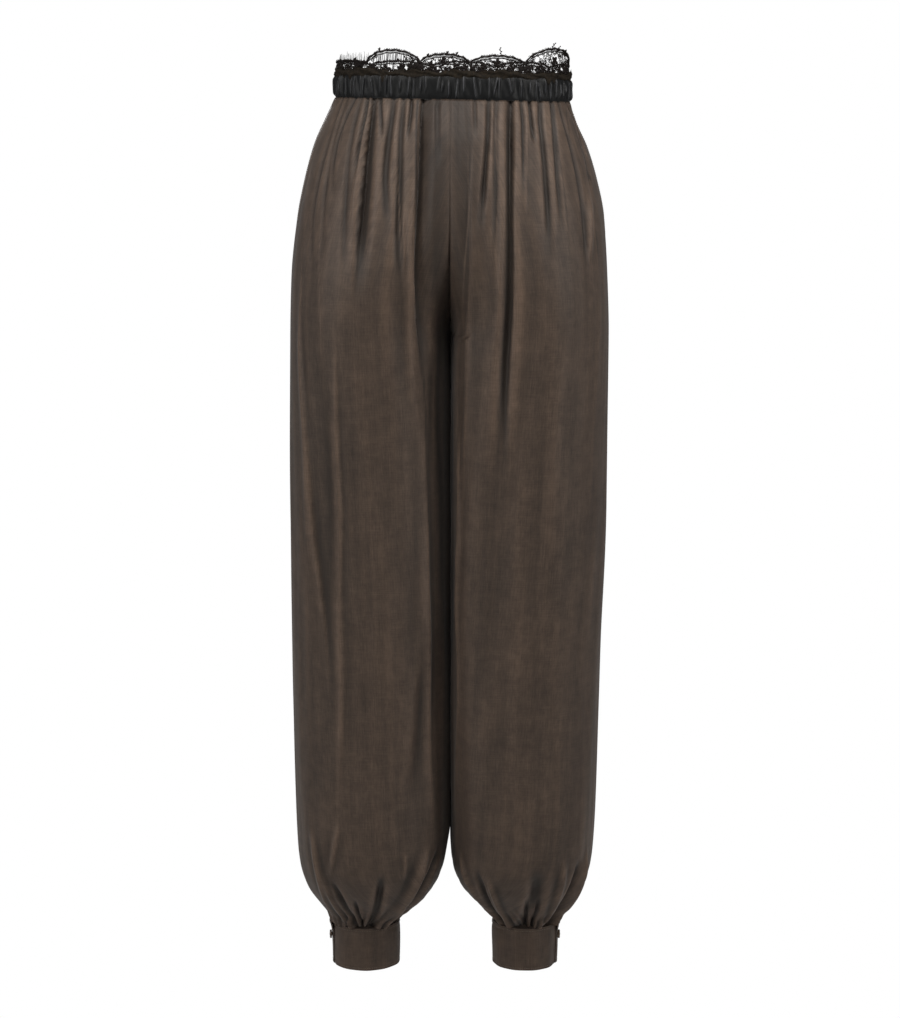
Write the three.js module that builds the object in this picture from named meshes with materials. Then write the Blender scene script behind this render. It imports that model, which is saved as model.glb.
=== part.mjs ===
// Balloon pants: four silk panels gathered into a ruched waistband and two buttoned ankle cuffs,
// with a raw-edged frill and a scalloped lace edging standing above the band.
// Millimetres, +Z up, +X to the wearer's left, -Y to the front. The origin is the centre of the
// waist ring at half the band's height. The cloth keeps its worn, filled-out hollow form.
import * as THREE from "three";
import { mergeVertices } from "three/addons/utils/BufferGeometryUtils.js";

// ---- Driving dimensions -------------------------------------------------------------------
const SILK_WALL = 1.8;
const SEAM_GAP = 0.3;
const BAND_HEIGHT = 25;
const BAND_WALL = 3;
const BAND_RUCHES = 72;
const BAND_RUCHE_DEPTH = 1.1;
const BAND_SAG_PER_MM = 0.019; // the band hangs lower towards the wearer's left
const BAND_SAG_END_Z = -150; // the sag has faded out here
const CROTCH_Z = -270;
const LEG_END_Z = -956;
const CUFF_END_Z = -1006;
const CUFF_WALL = 2;
const CUFF_LAP = 18;
const CUFF_LAP_CLEARANCE = 0.5;
const FRILL_WAVES = 40;
const FRILL_WALL = 1.1;
const FRILL_HEIGHT = 8.4;
const LACE_WALL = 1.1;
const LACE_SCALLOPS = 10;
const LACE_VALLEY = 13.6;
const LACE_PEAK = 26;
const POCKET_TOP_Z = -22;
const POCKET_END_Z = -166;
const POCKET_MOUTH = 6;
const FACING_WALL = 1;
const BUTTON_RADIUS = 5;
const BUTTON_THICKNESS = 2;

const BAND_BOTTOM_Z = -BAND_HEIGHT / 2;
const BAND_TOP_Z = BAND_HEIGHT / 2;
const HALF_GAP = SEAM_GAP / 2;

// Half widths at the side seams, wearer's right and left, measured from the centre plane.
const SIDE_SEAMS = [
  { z: -12.5, right: 126.5, left: 132.5 },
  { z: -35, right: 137.5, left: 139.8 },
  { z: -62, right: 150, left: 152 },
  { z: -100, right: 161.2, left: 163.4 },
  { z: -140, right: 169.6, left: 171.4 },
  { z: -205, right: 176.7, left: 175.6 },
  { z: -270, right: 178.5, left: 177.4 },
  { z: -460, right: 180.5, left: 177.1 },
  { z: -634, right: 180, left: 172 },
  { z: -812, right: 177.2, left: 167.9 },
  { z: -860, right: 175.6, left: 165.6 },
  { z: -884, right: 173.2, left: 162.8 },
  { z: -908, right: 166.5, left: 155 },
  { z: -932, right: 151.5, left: 142.2 },
  { z: -944, right: 143.8, left: 133.2 },
  { z: -956, right: 139.6, left: 127.6 },
];

// Distances of the front, the back and the side seam line from the plane y = 0.
const DEPTHS = [
  { z: -12.5, front: 93, back: 93, seam: 0 },
  { z: -35, front: 103, back: 106, seam: 1 },
  { z: -62, front: 112, back: 118, seam: 2 },
  { z: -130, front: 121, back: 134, seam: 4 },
  { z: -200, front: 124, back: 140, seam: 4 },
  { z: -270, front: 120, back: 132, seam: 3 },
  { z: -400, front: 112, back: 114, seam: 1 },
  { z: -560, front: 105, back: 106, seam: 0 },
  { z: -720, front: 99, back: 104, seam: 0 },
  { z: -830, front: 98, back: 104, seam: 1 },
  { z: -872, front: 94, back: 100, seam: 2 },
  { z: -900, front: 82, back: 90, seam: 3 },
  { z: -925, front: 63, back: 73, seam: 4 },
  { z: -944, front: 43, back: 54, seam: 5 },
  { z: -956, front: 33.5, back: 43.5, seam: 5 },
];

// How far forward (and back) the centre seam still stands, as a share of the full depth.
const CENTRE_SEAM = [
  { z: -12.5, share: 1 },
  { z: -90, share: 1 },
  { z: -140, share: 0.965 },
  { z: -180, share: 0.88 },
  { z: -210, share: 0.74 },
  { z: -238, share: 0.5 },
  { z: -257, share: 0.26 },
  { z: -270, share: 0 },
];

// The inseam of each leg, measured from the centre plane.
const INSEAMS = [
  { z: -270, right: 0.15, left: 0.15 },
  { z: -300, right: 1.1, left: 1.1 },
  { z: -400, right: 1.6, left: 1.5 },
  { z: -850, right: 1.8, left: 1.2 },
  { z: -872, right: 4.8, left: 1.4 },
  { z: -896, right: 10.9, left: 6.1 },
  { z: -920, right: 24.3, left: 20.6 },
  { z: -938, right: 41, left: 38.8 },
  { z: -950, right: 55.5, left: 48.5 },
  { z: -956, right: 60.2, left: 50.8 },
];

// Exponents of the section quadrants: 2 is an ellipse, larger is squarer.
const SQUARENESS = [
  { z: -12.5, outer: 2.3, rightInner: 2.3, leftInner: 2.3, backInner: 2.3 },
  { z: -200, outer: 2.35, rightInner: 2.35, leftInner: 2.6, backInner: 2.35 },
  { z: -300, outer: 2.4, rightInner: 2.3, leftInner: 3.4, backInner: 2.5 },
  { z: -760, outer: 2.4, rightInner: 2.4, leftInner: 3.4, backInner: 2.5 },
  { z: -860, outer: 2.3, rightInner: 2.3, leftInner: 2.5, backInner: 2.3 },
  { z: -956, outer: 2.1, rightInner: 2.1, leftInner: 2.1, backInner: 2.1 },
];

// Small gathers sewn into a seam: narrow troughs between rounded crests.
const WAIST_GATHERS = { count: 12, seamZ: BAND_BOTTOM_Z, depth: 4.4, rise: 1.5, reach: 110, uneven: 0.3 };
const CUFF_GATHERS = { count: 9, seamZ: LEG_END_Z, depth: 4.6, rise: 1.6, reach: 58, uneven: 0.3 };

// Where the front's gathers sink at the band, in millimetres from the centre, side seam first.
const FRONT_WAIST_TROUGHS = {
  right_front: [119, 113, 105, 98, 91, 84, 75, 61, 50, 42, 29, 14],
  left_front: [126, 119, 111, 99, 86, 77, 67, 50, 42, 27, 19, 6],
};

// Large folds: height is positive for a ridge and negative for a trough, half is its half width,
// and its line runs from top to end through three distances from the centre plane.
const FOLDS = [
  { panel: "right_front", height: -6, half: 17, top: -12.5, end: -225, xTop: 82, xMid: 98, xEnd: 99 },
  { panel: "right_front", height: -8, half: 19, top: -12.5, end: -300, xTop: 29, xMid: 33, xEnd: 26 },
  { panel: "right_front", height: 4.5, half: 22, top: -170, end: -730, xTop: 162, xMid: 155, xEnd: 127 },
  { panel: "right_front", height: 5, half: 22, top: -235, end: -875, xTop: 126, xMid: 122, xEnd: 127 },
  { panel: "right_front", height: -5, half: 26, top: -600, end: -870, xTop: 20, xMid: 32, xEnd: 48 },
  { panel: "right_front", height: -6, half: 20, top: -858, end: -956, xTop: 74, xMid: 77, xEnd: 88 },
  { panel: "right_front", height: -8, half: 20, top: -850, end: -956, xTop: 10, xMid: 24, xEnd: 66 },
  { panel: "left_front", height: -7, half: 17, top: -12.5, end: -420, xTop: 67, xMid: 63, xEnd: 57 },
  { panel: "left_front", height: -4.5, half: 14, top: -12.5, end: -160, xTop: 99, xMid: 104, xEnd: 109 },
  { panel: "left_front", height: 4.5, half: 20, top: -110, end: -270, xTop: 150, xMid: 154, xEnd: 155 },
  { panel: "left_front", height: 3.5, half: 18, top: -90, end: -430, xTop: 24, xMid: 20, xEnd: 12 },
  { panel: "left_front", height: -4, half: 26, top: -330, end: -800, xTop: 52, xMid: 48, xEnd: 44 },
  { panel: "left_front", height: -8, half: 20, top: -852, end: -956, xTop: 94, xMid: 92, xEnd: 86 },
  { panel: "left_front", height: -7, half: 18, top: -856, end: -956, xTop: 136, xMid: 130, xEnd: 112 },
  { panel: "right_back", height: -6, half: 17, top: -12.5, end: -260, xTop: 70, xMid: 80, xEnd: 84 },
  { panel: "right_back", height: -5, half: 15, top: -12.5, end: -180, xTop: 104, xMid: 118, xEnd: 124 },
  { panel: "right_back", height: 5, half: 22, top: -220, end: -820, xTop: 112, xMid: 116, xEnd: 108 },
  { panel: "right_back", height: -5, half: 26, top: -330, end: -860, xTop: 60, xMid: 56, xEnd: 62 },
  { panel: "right_back", height: -7, half: 19, top: -852, end: -956, xTop: 112, xMid: 108, xEnd: 104 },
  { panel: "left_back", height: -6, half: 17, top: -12.5, end: -300, xTop: 78, xMid: 86, xEnd: 88 },
  { panel: "left_back", height: -5, half: 15, top: -12.5, end: -190, xTop: 44, xMid: 40, xEnd: 36 },
  { panel: "left_back", height: 5, half: 22, top: -240, end: -850, xTop: 128, xMid: 130, xEnd: 118 },
  { panel: "left_back", height: -5, half: 26, top: -400, end: -870, xTop: 74, xMid: 66, xEnd: 58 },
  { panel: "left_back", height: -7, half: 19, top: -850, end: -956, xTop: 70, xMid: 74, xEnd: 82 },
];

const SILK = { color: 0x51463d, roughness: 0.62, metalness: 0 };
const CUFF_SILK = { color: 0x453c35, roughness: 0.65, metalness: 0 };
const BAND_COAT = { color: 0x17181b, roughness: 0.42, metalness: 0 };
const CHIFFON = { color: 0x352c20, roughness: 0.9, metalness: 0 };
const LACE_THREAD = { color: 0x1b1614, roughness: 0.8, metalness: 0 };
const HORN = { color: 0x2c2622, roughness: 0.4, metalness: 0 };

// ---- Helpers ------------------------------------------------------------------------------
function smooth(t) {
  const c = Math.min(1, Math.max(0, t));
  return c * c * (3 - 2 * c);
}

// A steady value between -1 and 1 for each index, so that gathers are uneven but repeatable.
function uneven(index, salt) {
  const turn = Math.sin(index * 12.9898 + salt * 78.233) * 43758.5453;
  return 2 * (turn - Math.floor(turn)) - 1;
}

function bell(q) {
  return Math.abs(q) < 1 ? (1 - q * q) ** 2 : 0;
}

// A smooth curve down one column of a table, which never overshoots its rows.
function columnCurve(rows, column) {
  const z = rows.map((row) => row.z);
  const value = rows.map((row) => row[column]);
  const last = rows.length - 1;
  const rise = z.slice(1).map((zNext, i) => (value[i + 1] - value[i]) / (zNext - z[i]));
  const slope = value.map((v, i) => {
    if (i === 0 || i === last) return rise[Math.min(i, last - 1)];
    const product = rise[i - 1] * rise[i];
    return product > 0 ? (2 * product) / (rise[i - 1] + rise[i]) : 0;
  });
  return (at) => {
    if (at >= z[0]) return value[0];
    if (at <= z[last]) return value[last];
    let i = 0;
    while (at < z[i + 1]) i += 1;
    const span = z[i + 1] - z[i];
    const t = (at - z[i]) / span;
    const t2 = t * t;
    const t3 = t2 * t;
    const ends = (2 * t3 - 3 * t2 + 1) * value[i] + (3 * t2 - 2 * t3) * value[i + 1];
    return ends + span * ((t3 - 2 * t2 + t) * slope[i] + (t3 - t2) * slope[i + 1]);
  };
}

const seamAt = { right: columnCurve(SIDE_SEAMS, "right"), left: columnCurve(SIDE_SEAMS, "left") };
const inseamAt = { right: columnCurve(INSEAMS, "right"), left: columnCurve(INSEAMS, "left") };
const depthAt = { front: columnCurve(DEPTHS, "front"), back: columnCurve(DEPTHS, "back") };
const seamLineY = columnCurve(DEPTHS, "seam");
const centreShare = columnCurve(CENTRE_SEAM, "share");
const outerSquare = columnCurve(SQUARENESS, "outer");
const innerSquare = {
  right_front: columnCurve(SQUARENESS, "rightInner"),
  left_front: columnCurve(SQUARENESS, "leftInner"),
  right_back: columnCurve(SQUARENESS, "backInner"),
  left_back: columnCurve(SQUARENESS, "backInner"),
};

// The band's slant: every point is lowered towards the wearer's left, less and less further down.
function hang([x, y, z]) {
  const grip = smooth((z - BAND_SAG_END_Z) / (BAND_BOTTOM_Z - BAND_SAG_END_Z));
  return [x, y, z - BAND_SAG_PER_MM * x * grip];
}

// A closed body from shared points and triangles, turned so that its faces point out.
function closedMesh(name, material, points, faces) {
  let volume = 0;
  const [a, b, c] = [new THREE.Vector3(), new THREE.Vector3(), new THREE.Vector3()];
  for (const face of faces) {
    a.set(...points[face[0]]);
    b.set(...points[face[1]]);
    c.set(...points[face[2]]);
    volume += a.dot(b.cross(c));
  }
  const order = volume < 0 ? faces.map(([i, j, k]) => [i, k, j]) : faces;
  const geometry = new THREE.BufferGeometry();
  geometry.setAttribute("position", new THREE.Float32BufferAttribute(points.flat(), 3));
  geometry.setIndex(order.flat());
  geometry.computeVertexNormals();
  const mesh = new THREE.Mesh(geometry, new THREE.MeshStandardMaterial(material));
  mesh.name = name;
  return mesh;
}

// Triangles between two rows of points that may hold different numbers of columns.
// A row is { first, at }: the index of its first point and each point's place from 0 to 1.
function bridgeRows(faces, rowA, rowB, reversed) {
  let i = 0;
  let j = 0;
  while (i < rowA.at.length - 1 || j < rowB.at.length - 1) {
    const nextA = i < rowA.at.length - 1 ? rowA.at[i + 1] : Infinity;
    const nextB = j < rowB.at.length - 1 ? rowB.at[j + 1] : Infinity;
    const a = rowA.first + i;
    const b = rowB.first + j;
    const face = nextA <= nextB ? [a, a + 1, b] : [a, b + 1, b];
    if (nextA <= nextB) i += 1;
    else j += 1;
    faces.push(reversed ? [face[0], face[2], face[1]] : face);
  }
}

// A sheet with a wall: outer and inner rows of points, joined round all four edges.
// rows holds { at, outer, inner }, from the top row to the bottom row.
function sheetMesh(name, material, rows) {
  const points = [];
  const outer = [];
  const inner = [];
  for (const row of rows) {
    outer.push({ first: points.length, at: row.at });
    points.push(...row.outer);
    inner.push({ first: points.length, at: row.at });
    points.push(...row.inner);
  }
  const faces = [];
  const lastRow = rows.length - 1;
  for (let r = 0; r < lastRow; r += 1) {
    bridgeRows(faces, outer[r], outer[r + 1], false);
    bridgeRows(faces, inner[r], inner[r + 1], true);
    for (const end of [0, 1]) {
      const pick = (row) => row.first + end * (row.at.length - 1);
      const [a, b, c, d] = [outer[r], outer[r + 1], inner[r + 1], inner[r]].map(pick);
      faces.push(...(end ? [[a, c, b], [a, d, c]] : [[a, b, c], [a, c, d]]));
    }
  }
  bridgeRows(faces, outer[0], inner[0], true);
  bridgeRows(faces, outer[lastRow], inner[lastRow], false);
  return closedMesh(name, material, points.map(hang), faces);
}

// ---- Leg panels ---------------------------------------------------------------------------
const SECTION_STEPS = 180;
const NORMAL_STEP = 2;
const SEAM_CALM = 11; // folds die out over this distance from a seam
const MOUTH_CALM = 4; // and this far past the pocket mouth

function makePanel(side, face, salt) {
  return {
    name: side + "_" + face,
    side,
    face,
    sideSign: side === "left" ? 1 : -1,
    faceSign: face === "back" ? 1 : -1,
    waist: gatherEdges(WAIST_GATHERS, salt, placedTroughs(side, face)),
    cuff: gatherEdges(CUFF_GATHERS, salt + 5, null),
  };
}

// The placed troughs of a front panel as shares of its width at the band; none at the back.
function placedTroughs(side, face) {
  const name = side + "_" + face;
  if (!(name in FRONT_WAIST_TROUGHS)) return null;
  const line = sectionLine({ name, side, face, faceSign: -1 }, BAND_BOTTOM_Z);
  const width = line[line.length - 1].s;
  return [0, ...FRONT_WAIST_TROUGHS[name].map((x) => distanceAtX(line, x) / width), 1];
}

// The troughs of one row of gathers, each with its own place, depth and length.
function gatherEdges(gathers, salt, placed) {
  const edges = [];
  const count = placed ? placed.length - 1 : gathers.count;
  for (let i = 0; i <= count; i += 1) {
    const inside = i > 0 && i < count;
    const shift = inside ? gathers.uneven * uneven(i, salt) : 0;
    edges.push({
      at: placed ? placed[i] : (i + shift) / count,
      depth: gathers.depth * (1 + 0.35 * uneven(i, salt + 1)),
      reach: gathers.reach * (1 + 0.4 * uneven(i, salt + 2)),
    });
  }
  return edges;
}

// The calm section of one panel at one height, from the side seam to the centre or the inseam,
// as points with their distance along the cloth.
function sectionLine(panel, z) {
  const out = seamAt[panel.side](z);
  const seamY = seamLineY(z);
  const depth = depthAt[panel.face](z) - panel.faceSign * seamY;
  const square = innerSquare[panel.name](z);
  const share = (1 - centreShare(z) ** square) ** (1 / square);
  const inner = z > CROTCH_Z ? (out * (share - 1)) / (share + 1) : inseamAt[panel.side](z);
  const middle = (out + inner) / 2;
  const reach = (out - inner) / 2;
  const line = [];
  let length = 0;
  for (let i = 0; i <= SECTION_STEPS; i += 1) {
    const turn = (Math.PI * i) / SECTION_STEPS;
    const across = Math.cos(turn);
    const power = 2 / (across > 0 ? outerSquare(z) : square);
    const x = middle + Math.sign(across) * reach * Math.abs(across) ** power;
    const y = seamY + panel.faceSign * depth * Math.abs(Math.sin(turn)) ** power;
    const before = line[line.length - 1];
    if (x < HALF_GAP && before) {
      const cut = (before.x - HALF_GAP) / (before.x - x);
      const yCut = before.y + cut * (y - before.y);
      length += Math.hypot(before.x - HALF_GAP, yCut - before.y);
      line.push({ x: HALF_GAP, y: yCut, s: length });
      break;
    }
    if (before) length += Math.hypot(x - before.x, y - before.y);
    line.push({ x, y, s: length });
  }
  return line;
}

function lineAt(line, s) {
  let low = 0;
  let high = line.length - 1;
  while (high - low > 1) {
    const mid = (low + high) >> 1;
    if (line[mid].s <= s) low = mid;
    else high = mid;
  }
  const [p, q] = [line[low], line[high]];
  const t = (s - p.s) / Math.max(q.s - p.s, 1e-9);
  return { x: p.x + t * (q.x - p.x), y: p.y + t * (q.y - p.y) };
}

function distanceAtX(line, x) {
  const after = line.findIndex((point) => point.x <= x);
  return after < 0 ? line[line.length - 1].s : line[after].s;
}

// The pocket mouth draws the front panel's edge back from the side seam in a long lens.
function mouthWidth(z) {
  const t = (POCKET_TOP_Z - z) / (POCKET_TOP_Z - POCKET_END_Z);
  return t > 0 && t < 1 ? POCKET_MOUTH * Math.sin(Math.PI * t) : 0;
}

function panelSpan(panel, z, line) {
  const start = HALF_GAP + (panel.face === "front" ? mouthWidth(z) : 0);
  return { start, end: line[line.length - 1].s - HALF_GAP };
}

// Height of the gathers of one seam at a place u along the panel.
function gatherHeight(gathers, edges, z, u, width) {
  const away = Math.abs(z - gathers.seamZ);
  const grow = 0.6 + 0.4 * smooth(away / 24);
  let height = 0;
  for (let i = 0; i < edges.length; i += 1) {
    const edge = edges[i];
    const fade = grow * (1 - smooth(away / edge.reach));
    const half = (0.42 * width) / (edges.length - 1);
    height -= edge.depth * fade * bell(((u - edge.at) * width) / half);
    const next = edges[i + 1];
    if (next && u > edge.at && u < next.at) {
      const t = (u - edge.at) / (next.at - edge.at);
      height += gathers.rise * fade * 4 * t * (1 - t);
    }
  }
  return height;
}

// Height of the large folds at a distance s along the section.
function foldHeight(panel, line, z, s) {
  let height = 0;
  for (const fold of FOLDS) {
    if (fold.panel !== panel.name || z > fold.top || z < fold.end) continue;
    const t = (fold.top - z) / (fold.top - fold.end);
    const x = fold.xTop * (1 - t) * (1 - 2 * t) + 4 * fold.xMid * t * (1 - t) + fold.xEnd * t * (2 * t - 1);
    const open = fold.top >= BAND_BOTTOM_Z ? 0.6 + 0.4 * smooth(t / 0.15) : smooth(t / 0.2);
    const close = fold.end <= LEG_END_Z ? 1 : smooth((1 - t) / 0.3);
    height += fold.height * open * close * bell((s - distanceAtX(line, x)) / fold.half);
  }
  return height;
}

function calmPoint(panel, z, u, line = sectionLine(panel, z)) {
  const { start, end } = panelSpan(panel, z, line);
  const { x, y } = lineAt(line, start + u * (end - start));
  return new THREE.Vector3(panel.sideSign * x, y, z);
}

// Keeps a point on its own side of the centre seam and of the side seam line.
function keepInPanel(panel, point) {
  const seamY = seamLineY(point.z);
  const x = panel.sideSign * Math.max(HALF_GAP, panel.sideSign * point.x);
  const ahead = Math.max(HALF_GAP, panel.faceSign * (point.y - seamY));
  return [x, seamY + panel.faceSign * ahead, point.z];
}

// One row of a panel: folded outer points, and inner points one wall further in.
function panelRow(panel, z, at) {
  const line = sectionLine(panel, z);
  const above = sectionLine(panel, z + NORMAL_STEP);
  const below = sectionLine(panel, z - NORMAL_STEP);
  const { start, end } = panelSpan(panel, z, line);
  const width = end - start;
  const outer = [];
  const inner = [];
  for (const u of at) {
    const s = start + u * width;
    const calm = calmPoint(panel, z, u, line);
    const along = calmPoint(panel, z, Math.min(1, u + 0.01), line);
    along.sub(calmPoint(panel, z, Math.max(0, u - 0.01), line));
    const up = calmPoint(panel, z + NORMAL_STEP, u, above);
    up.sub(calmPoint(panel, z - NORMAL_STEP, u, below));
    const turned = -panel.sideSign * -panel.faceSign;
    const normal = along.clone().cross(up).normalize().multiplyScalar(turned);
    const flat = new THREE.Vector3(normal.x, normal.y, 0).normalize();
    const flatEdge = start > HALF_GAP ? start + MOUTH_CALM : 0;
    const calmEnds = smooth(Math.min(s - flatEdge, line[line.length - 1].s - s) / SEAM_CALM);
    const gathers =
      gatherHeight(WAIST_GATHERS, panel.waist, z, u, width) + gatherHeight(CUFF_GATHERS, panel.cuff, z, u, width);
    const height = calmEnds * (gathers + foldHeight(panel, line, z, s));
    const out = calm.addScaledVector(flat, height);
    const inn = out.clone().addScaledVector(normal, -SILK_WALL);
    inn.z = z;
    outer.push(keepInPanel(panel, out));
    inner.push(keepInPanel(panel, inn));
  }
  return { at, outer, inner };
}

// Columns at each trough and on both shoulders of each crest.
function gatherColumns(edges) {
  const at = [];
  edges.slice(1).forEach((edge, i) => {
    const from = edges[i].at;
    at.push(from, from + 0.32 * (edge.at - from), from + 0.68 * (edge.at - from));
  });
  at.push(1);
  return at;
}

function evenColumns(count) {
  return Array.from({ length: count + 1 }, (_, i) => i / count);
}

const GATHERED_WAIST_ROWS = [-12.8, -20, -32, -50, -75, -105, -140];
const LEG_ROWS = [-178, -210, -238, -257, -270, -300, -400, -520, -650, -760, -830];
const GATHERED_CUFF_ROWS = [-860, -880, -899, -915, -929, -943, -955.7];
const LEG_COLUMNS = 17;

function panelMesh(panel) {
  const rows = [
    ...GATHERED_WAIST_ROWS.map((z) => panelRow(panel, z, gatherColumns(panel.waist))),
    ...LEG_ROWS.map((z) => panelRow(panel, z, evenColumns(LEG_COLUMNS))),
    ...GATHERED_CUFF_ROWS.map((z) => panelRow(panel, z, gatherColumns(panel.cuff))),
  ];
  return sheetMesh(panel.name, SILK, rows);
}

const panels = [
  makePanel("right", "front", 1),
  makePanel("right", "back", 11),
  makePanel("left", "front", 21),
  makePanel("left", "back", 31),
];
const panelNamed = Object.fromEntries(panels.map((panel) => [panel.name, panel]));

// ---- Pocket facings -----------------------------------------------------------------------
// A strip under the pocket mouth, just inside the walls of the two panels.
const FACING_COLUMNS = [-4, 0, 3, 6, 9];
const FACING_ROWS = [-25, -32, -50, -75, -105, -140, -163];
const FACING_SINK = SILK_WALL + 0.8;

function facingMesh(side) {
  const rows = FACING_ROWS.map((z) => {
    const outer = [];
    const inner = [];
    for (const s of FACING_COLUMNS) {
      const panel = panelNamed[side + (s < 0 ? "_back" : "_front")];
      const place = (height) => {
        const { x, y } = lineAt(sectionLine(panel, height), Math.abs(s));
        return new THREE.Vector3(panel.sideSign * x, y, height);
      };
      const { x, y } = lineAt(sectionLine(panel, z), Math.abs(s) + 1);
      const along = new THREE.Vector3(panel.sideSign * x, y, z).sub(place(z));
      const up = place(z + NORMAL_STEP).sub(place(z - NORMAL_STEP));
      const normal = along.cross(up).normalize();
      if (normal.x * panel.sideSign < 0) normal.negate();
      const face = place(z).addScaledVector(normal, -FACING_SINK);
      const rear = place(z).addScaledVector(normal, -FACING_SINK - FACING_WALL);
      outer.push([face.x, face.y, z]);
      inner.push([rear.x, rear.y, z]);
    }
    return { at: FACING_COLUMNS, outer, inner };
  });
  return sheetMesh(side + "_pocket_facing", CUFF_SILK, rows);
}

// ---- Waist ring ---------------------------------------------------------------------------
// The closed waist line from the centre front round the wearer's left side, back and right side.
function waistLine() {
  const quarter = (name) => {
    const panel = panelNamed[name];
    return sectionLine(panel, BAND_BOTTOM_Z).map(({ x, y }) => [panel.sideSign * x, y]);
  };
  const loop = [
    ...quarter("left_front").reverse(),
    ...quarter("left_back").slice(1),
    ...quarter("right_back").reverse(),
    ...quarter("right_front").slice(1, -1),
  ];
  let length = 0;
  const line = loop.map(([x, y], i) => {
    if (i > 0) length += Math.hypot(x - loop[i - 1][0], y - loop[i - 1][1]);
    return { x, y, s: length };
  });
  length += Math.hypot(loop[0][0] - line[line.length - 1].x, loop[0][1] - line[line.length - 1].y);
  line.push({ ...line[0], s: length });
  return line;
}

const waist = waistLine();
const WAIST_LENGTH = waist[waist.length - 1].s;

// A point of the waist ring at a distance along it, moved out by rise and set at height z.
function waistPoint(distance, rise, z) {
  const s = ((distance % WAIST_LENGTH) + WAIST_LENGTH) % WAIST_LENGTH;
  const wrap = (value) => (value + WAIST_LENGTH) % WAIST_LENGTH;
  const here = lineAt(waist, s);
  const ahead = lineAt(waist, wrap(s + 3));
  const behind = lineAt(waist, wrap(s - 3));
  const length = Math.hypot(ahead.x - behind.x, ahead.y - behind.y);
  const out = [(ahead.y - behind.y) / length, -(ahead.x - behind.x) / length];
  return [here.x + rise * out[0], here.y + rise * out[1], z];
}

// A closed ring from loops of points, each loop joined to the next and the last to the first.
// loops holds { at, points }, with at from 0 up to but not including 1.
function ringMesh(name, material, loops) {
  const points = [];
  const rows = loops.map((loop) => {
    const row = { first: points.length, at: [...loop.at, 1] };
    points.push(...loop.points, loop.points[0]);
    return row;
  });
  const faces = [];
  rows.forEach((row, i) => bridgeRows(faces, row, rows[(i + 1) % rows.length], false));
  // The doubled first point of each loop is folded back onto the first.
  const alias = new Map(rows.map((row) => [row.first + row.at.length - 1, row.first]));
  const joined = faces.map((face) => face.map((index) => alias.get(index) ?? index));
  const used = [...new Set(joined.flat())].sort((a, b) => a - b);
  const place = new Map(used.map((index, i) => [index, i]));
  const kept = used.map((index) => hang(points[index]));
  return closedMesh(name, material, kept, joined.map((face) => face.map((index) => place.get(index))));
}

function waistLoop(count, riseAt, zAt) {
  const at = evenColumns(count).slice(0, -1);
  const points = at.map((t, i) => waistPoint(t * WAIST_LENGTH, riseAt(i, t), zAt(i, t)));
  return { at, points };
}

function bandMesh() {
  const columns = 2 * BAND_RUCHES;
  const ruche = (lean) => (i) => {
    const depth = BAND_RUCHE_DEPTH * (0.7 + 0.3 * uneven(i, 41 + lean));
    return i % 2 ? -depth : 0;
  };
  const middleBulge = (i) => ruche(1)(i) + 0.7;
  return ringMesh("waistband", BAND_COAT, [
    waistLoop(columns, ruche(0), () => BAND_TOP_Z),
    waistLoop(columns, middleBulge, () => 0),
    waistLoop(columns, ruche(2), () => BAND_BOTTOM_Z),
    waistLoop(48, () => -BAND_WALL, () => BAND_BOTTOM_Z),
    waistLoop(48, () => -BAND_WALL, () => BAND_TOP_Z),
  ]);
}

// The raw strip stands on the outer half of the band's top edge and waves outwards.
function frillMesh() {
  const columns = 2 * FRILL_WAVES;
  const foot = BAND_TOP_Z + SEAM_GAP;
  const lean = (i) => (i % 2 ? 0 : 2 + 0.9 * uneven(i, 51));
  const top = (i) => foot + FRILL_HEIGHT + 1.5 * uneven(i, 52);
  return ringMesh("waist_frill", CHIFFON, [
    waistLoop(columns, () => -0.2, () => foot),
    waistLoop(columns, (i) => -0.2 + lean(i), top),
    waistLoop(columns, (i) => -0.2 - FRILL_WALL + lean(i), top),
    waistLoop(columns, () => -0.2 - FRILL_WALL, () => foot),
  ]);
}

// ---- Lace edging --------------------------------------------------------------------------
const LACE_FOOT_RISE = -0.2 - FRILL_WALL - SEAM_GAP - LACE_WALL; // inner face, behind the frill
const LACE_PHASE = -9; // a scallop's peak stands this far from the centre front
const LACE_TALL = { scallop: 2, extra: 6 };
const LACE_FOOT_STEP = 11;
const LACE_EDGE_POINTS = 11;

// Open cells of one scallop: places from its middle, heights above the band, and half sizes.
const LACE_CELLS = [
  { s: -25.5, h: 11.6, halfWidth: 4.2, halfHeight: 2.6 },
  { s: -8.6, h: 12, halfWidth: 5.4, halfHeight: 2.9 },
  { s: 8.6, h: 12, halfWidth: 5.4, halfHeight: 2.9 },
  { s: 25.5, h: 11.6, halfWidth: 4.2, halfHeight: 2.6 },
  { s: -16.4, h: 18.6, halfWidth: 3.6, halfHeight: 2.3 },
  { s: 0, h: 19.4, halfWidth: 5, halfHeight: 2.9 },
  { s: 16.4, h: 18.6, halfWidth: 3.6, halfHeight: 2.3 },
];

function scallopHeight(t, scallop) {
  const peak = LACE_PEAK + (scallop === LACE_TALL.scallop ? LACE_TALL.extra : 0);
  return LACE_VALLEY + (peak - LACE_VALLEY) * (1 - (2 * t - 1) ** 2) ** 0.6;
}

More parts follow.
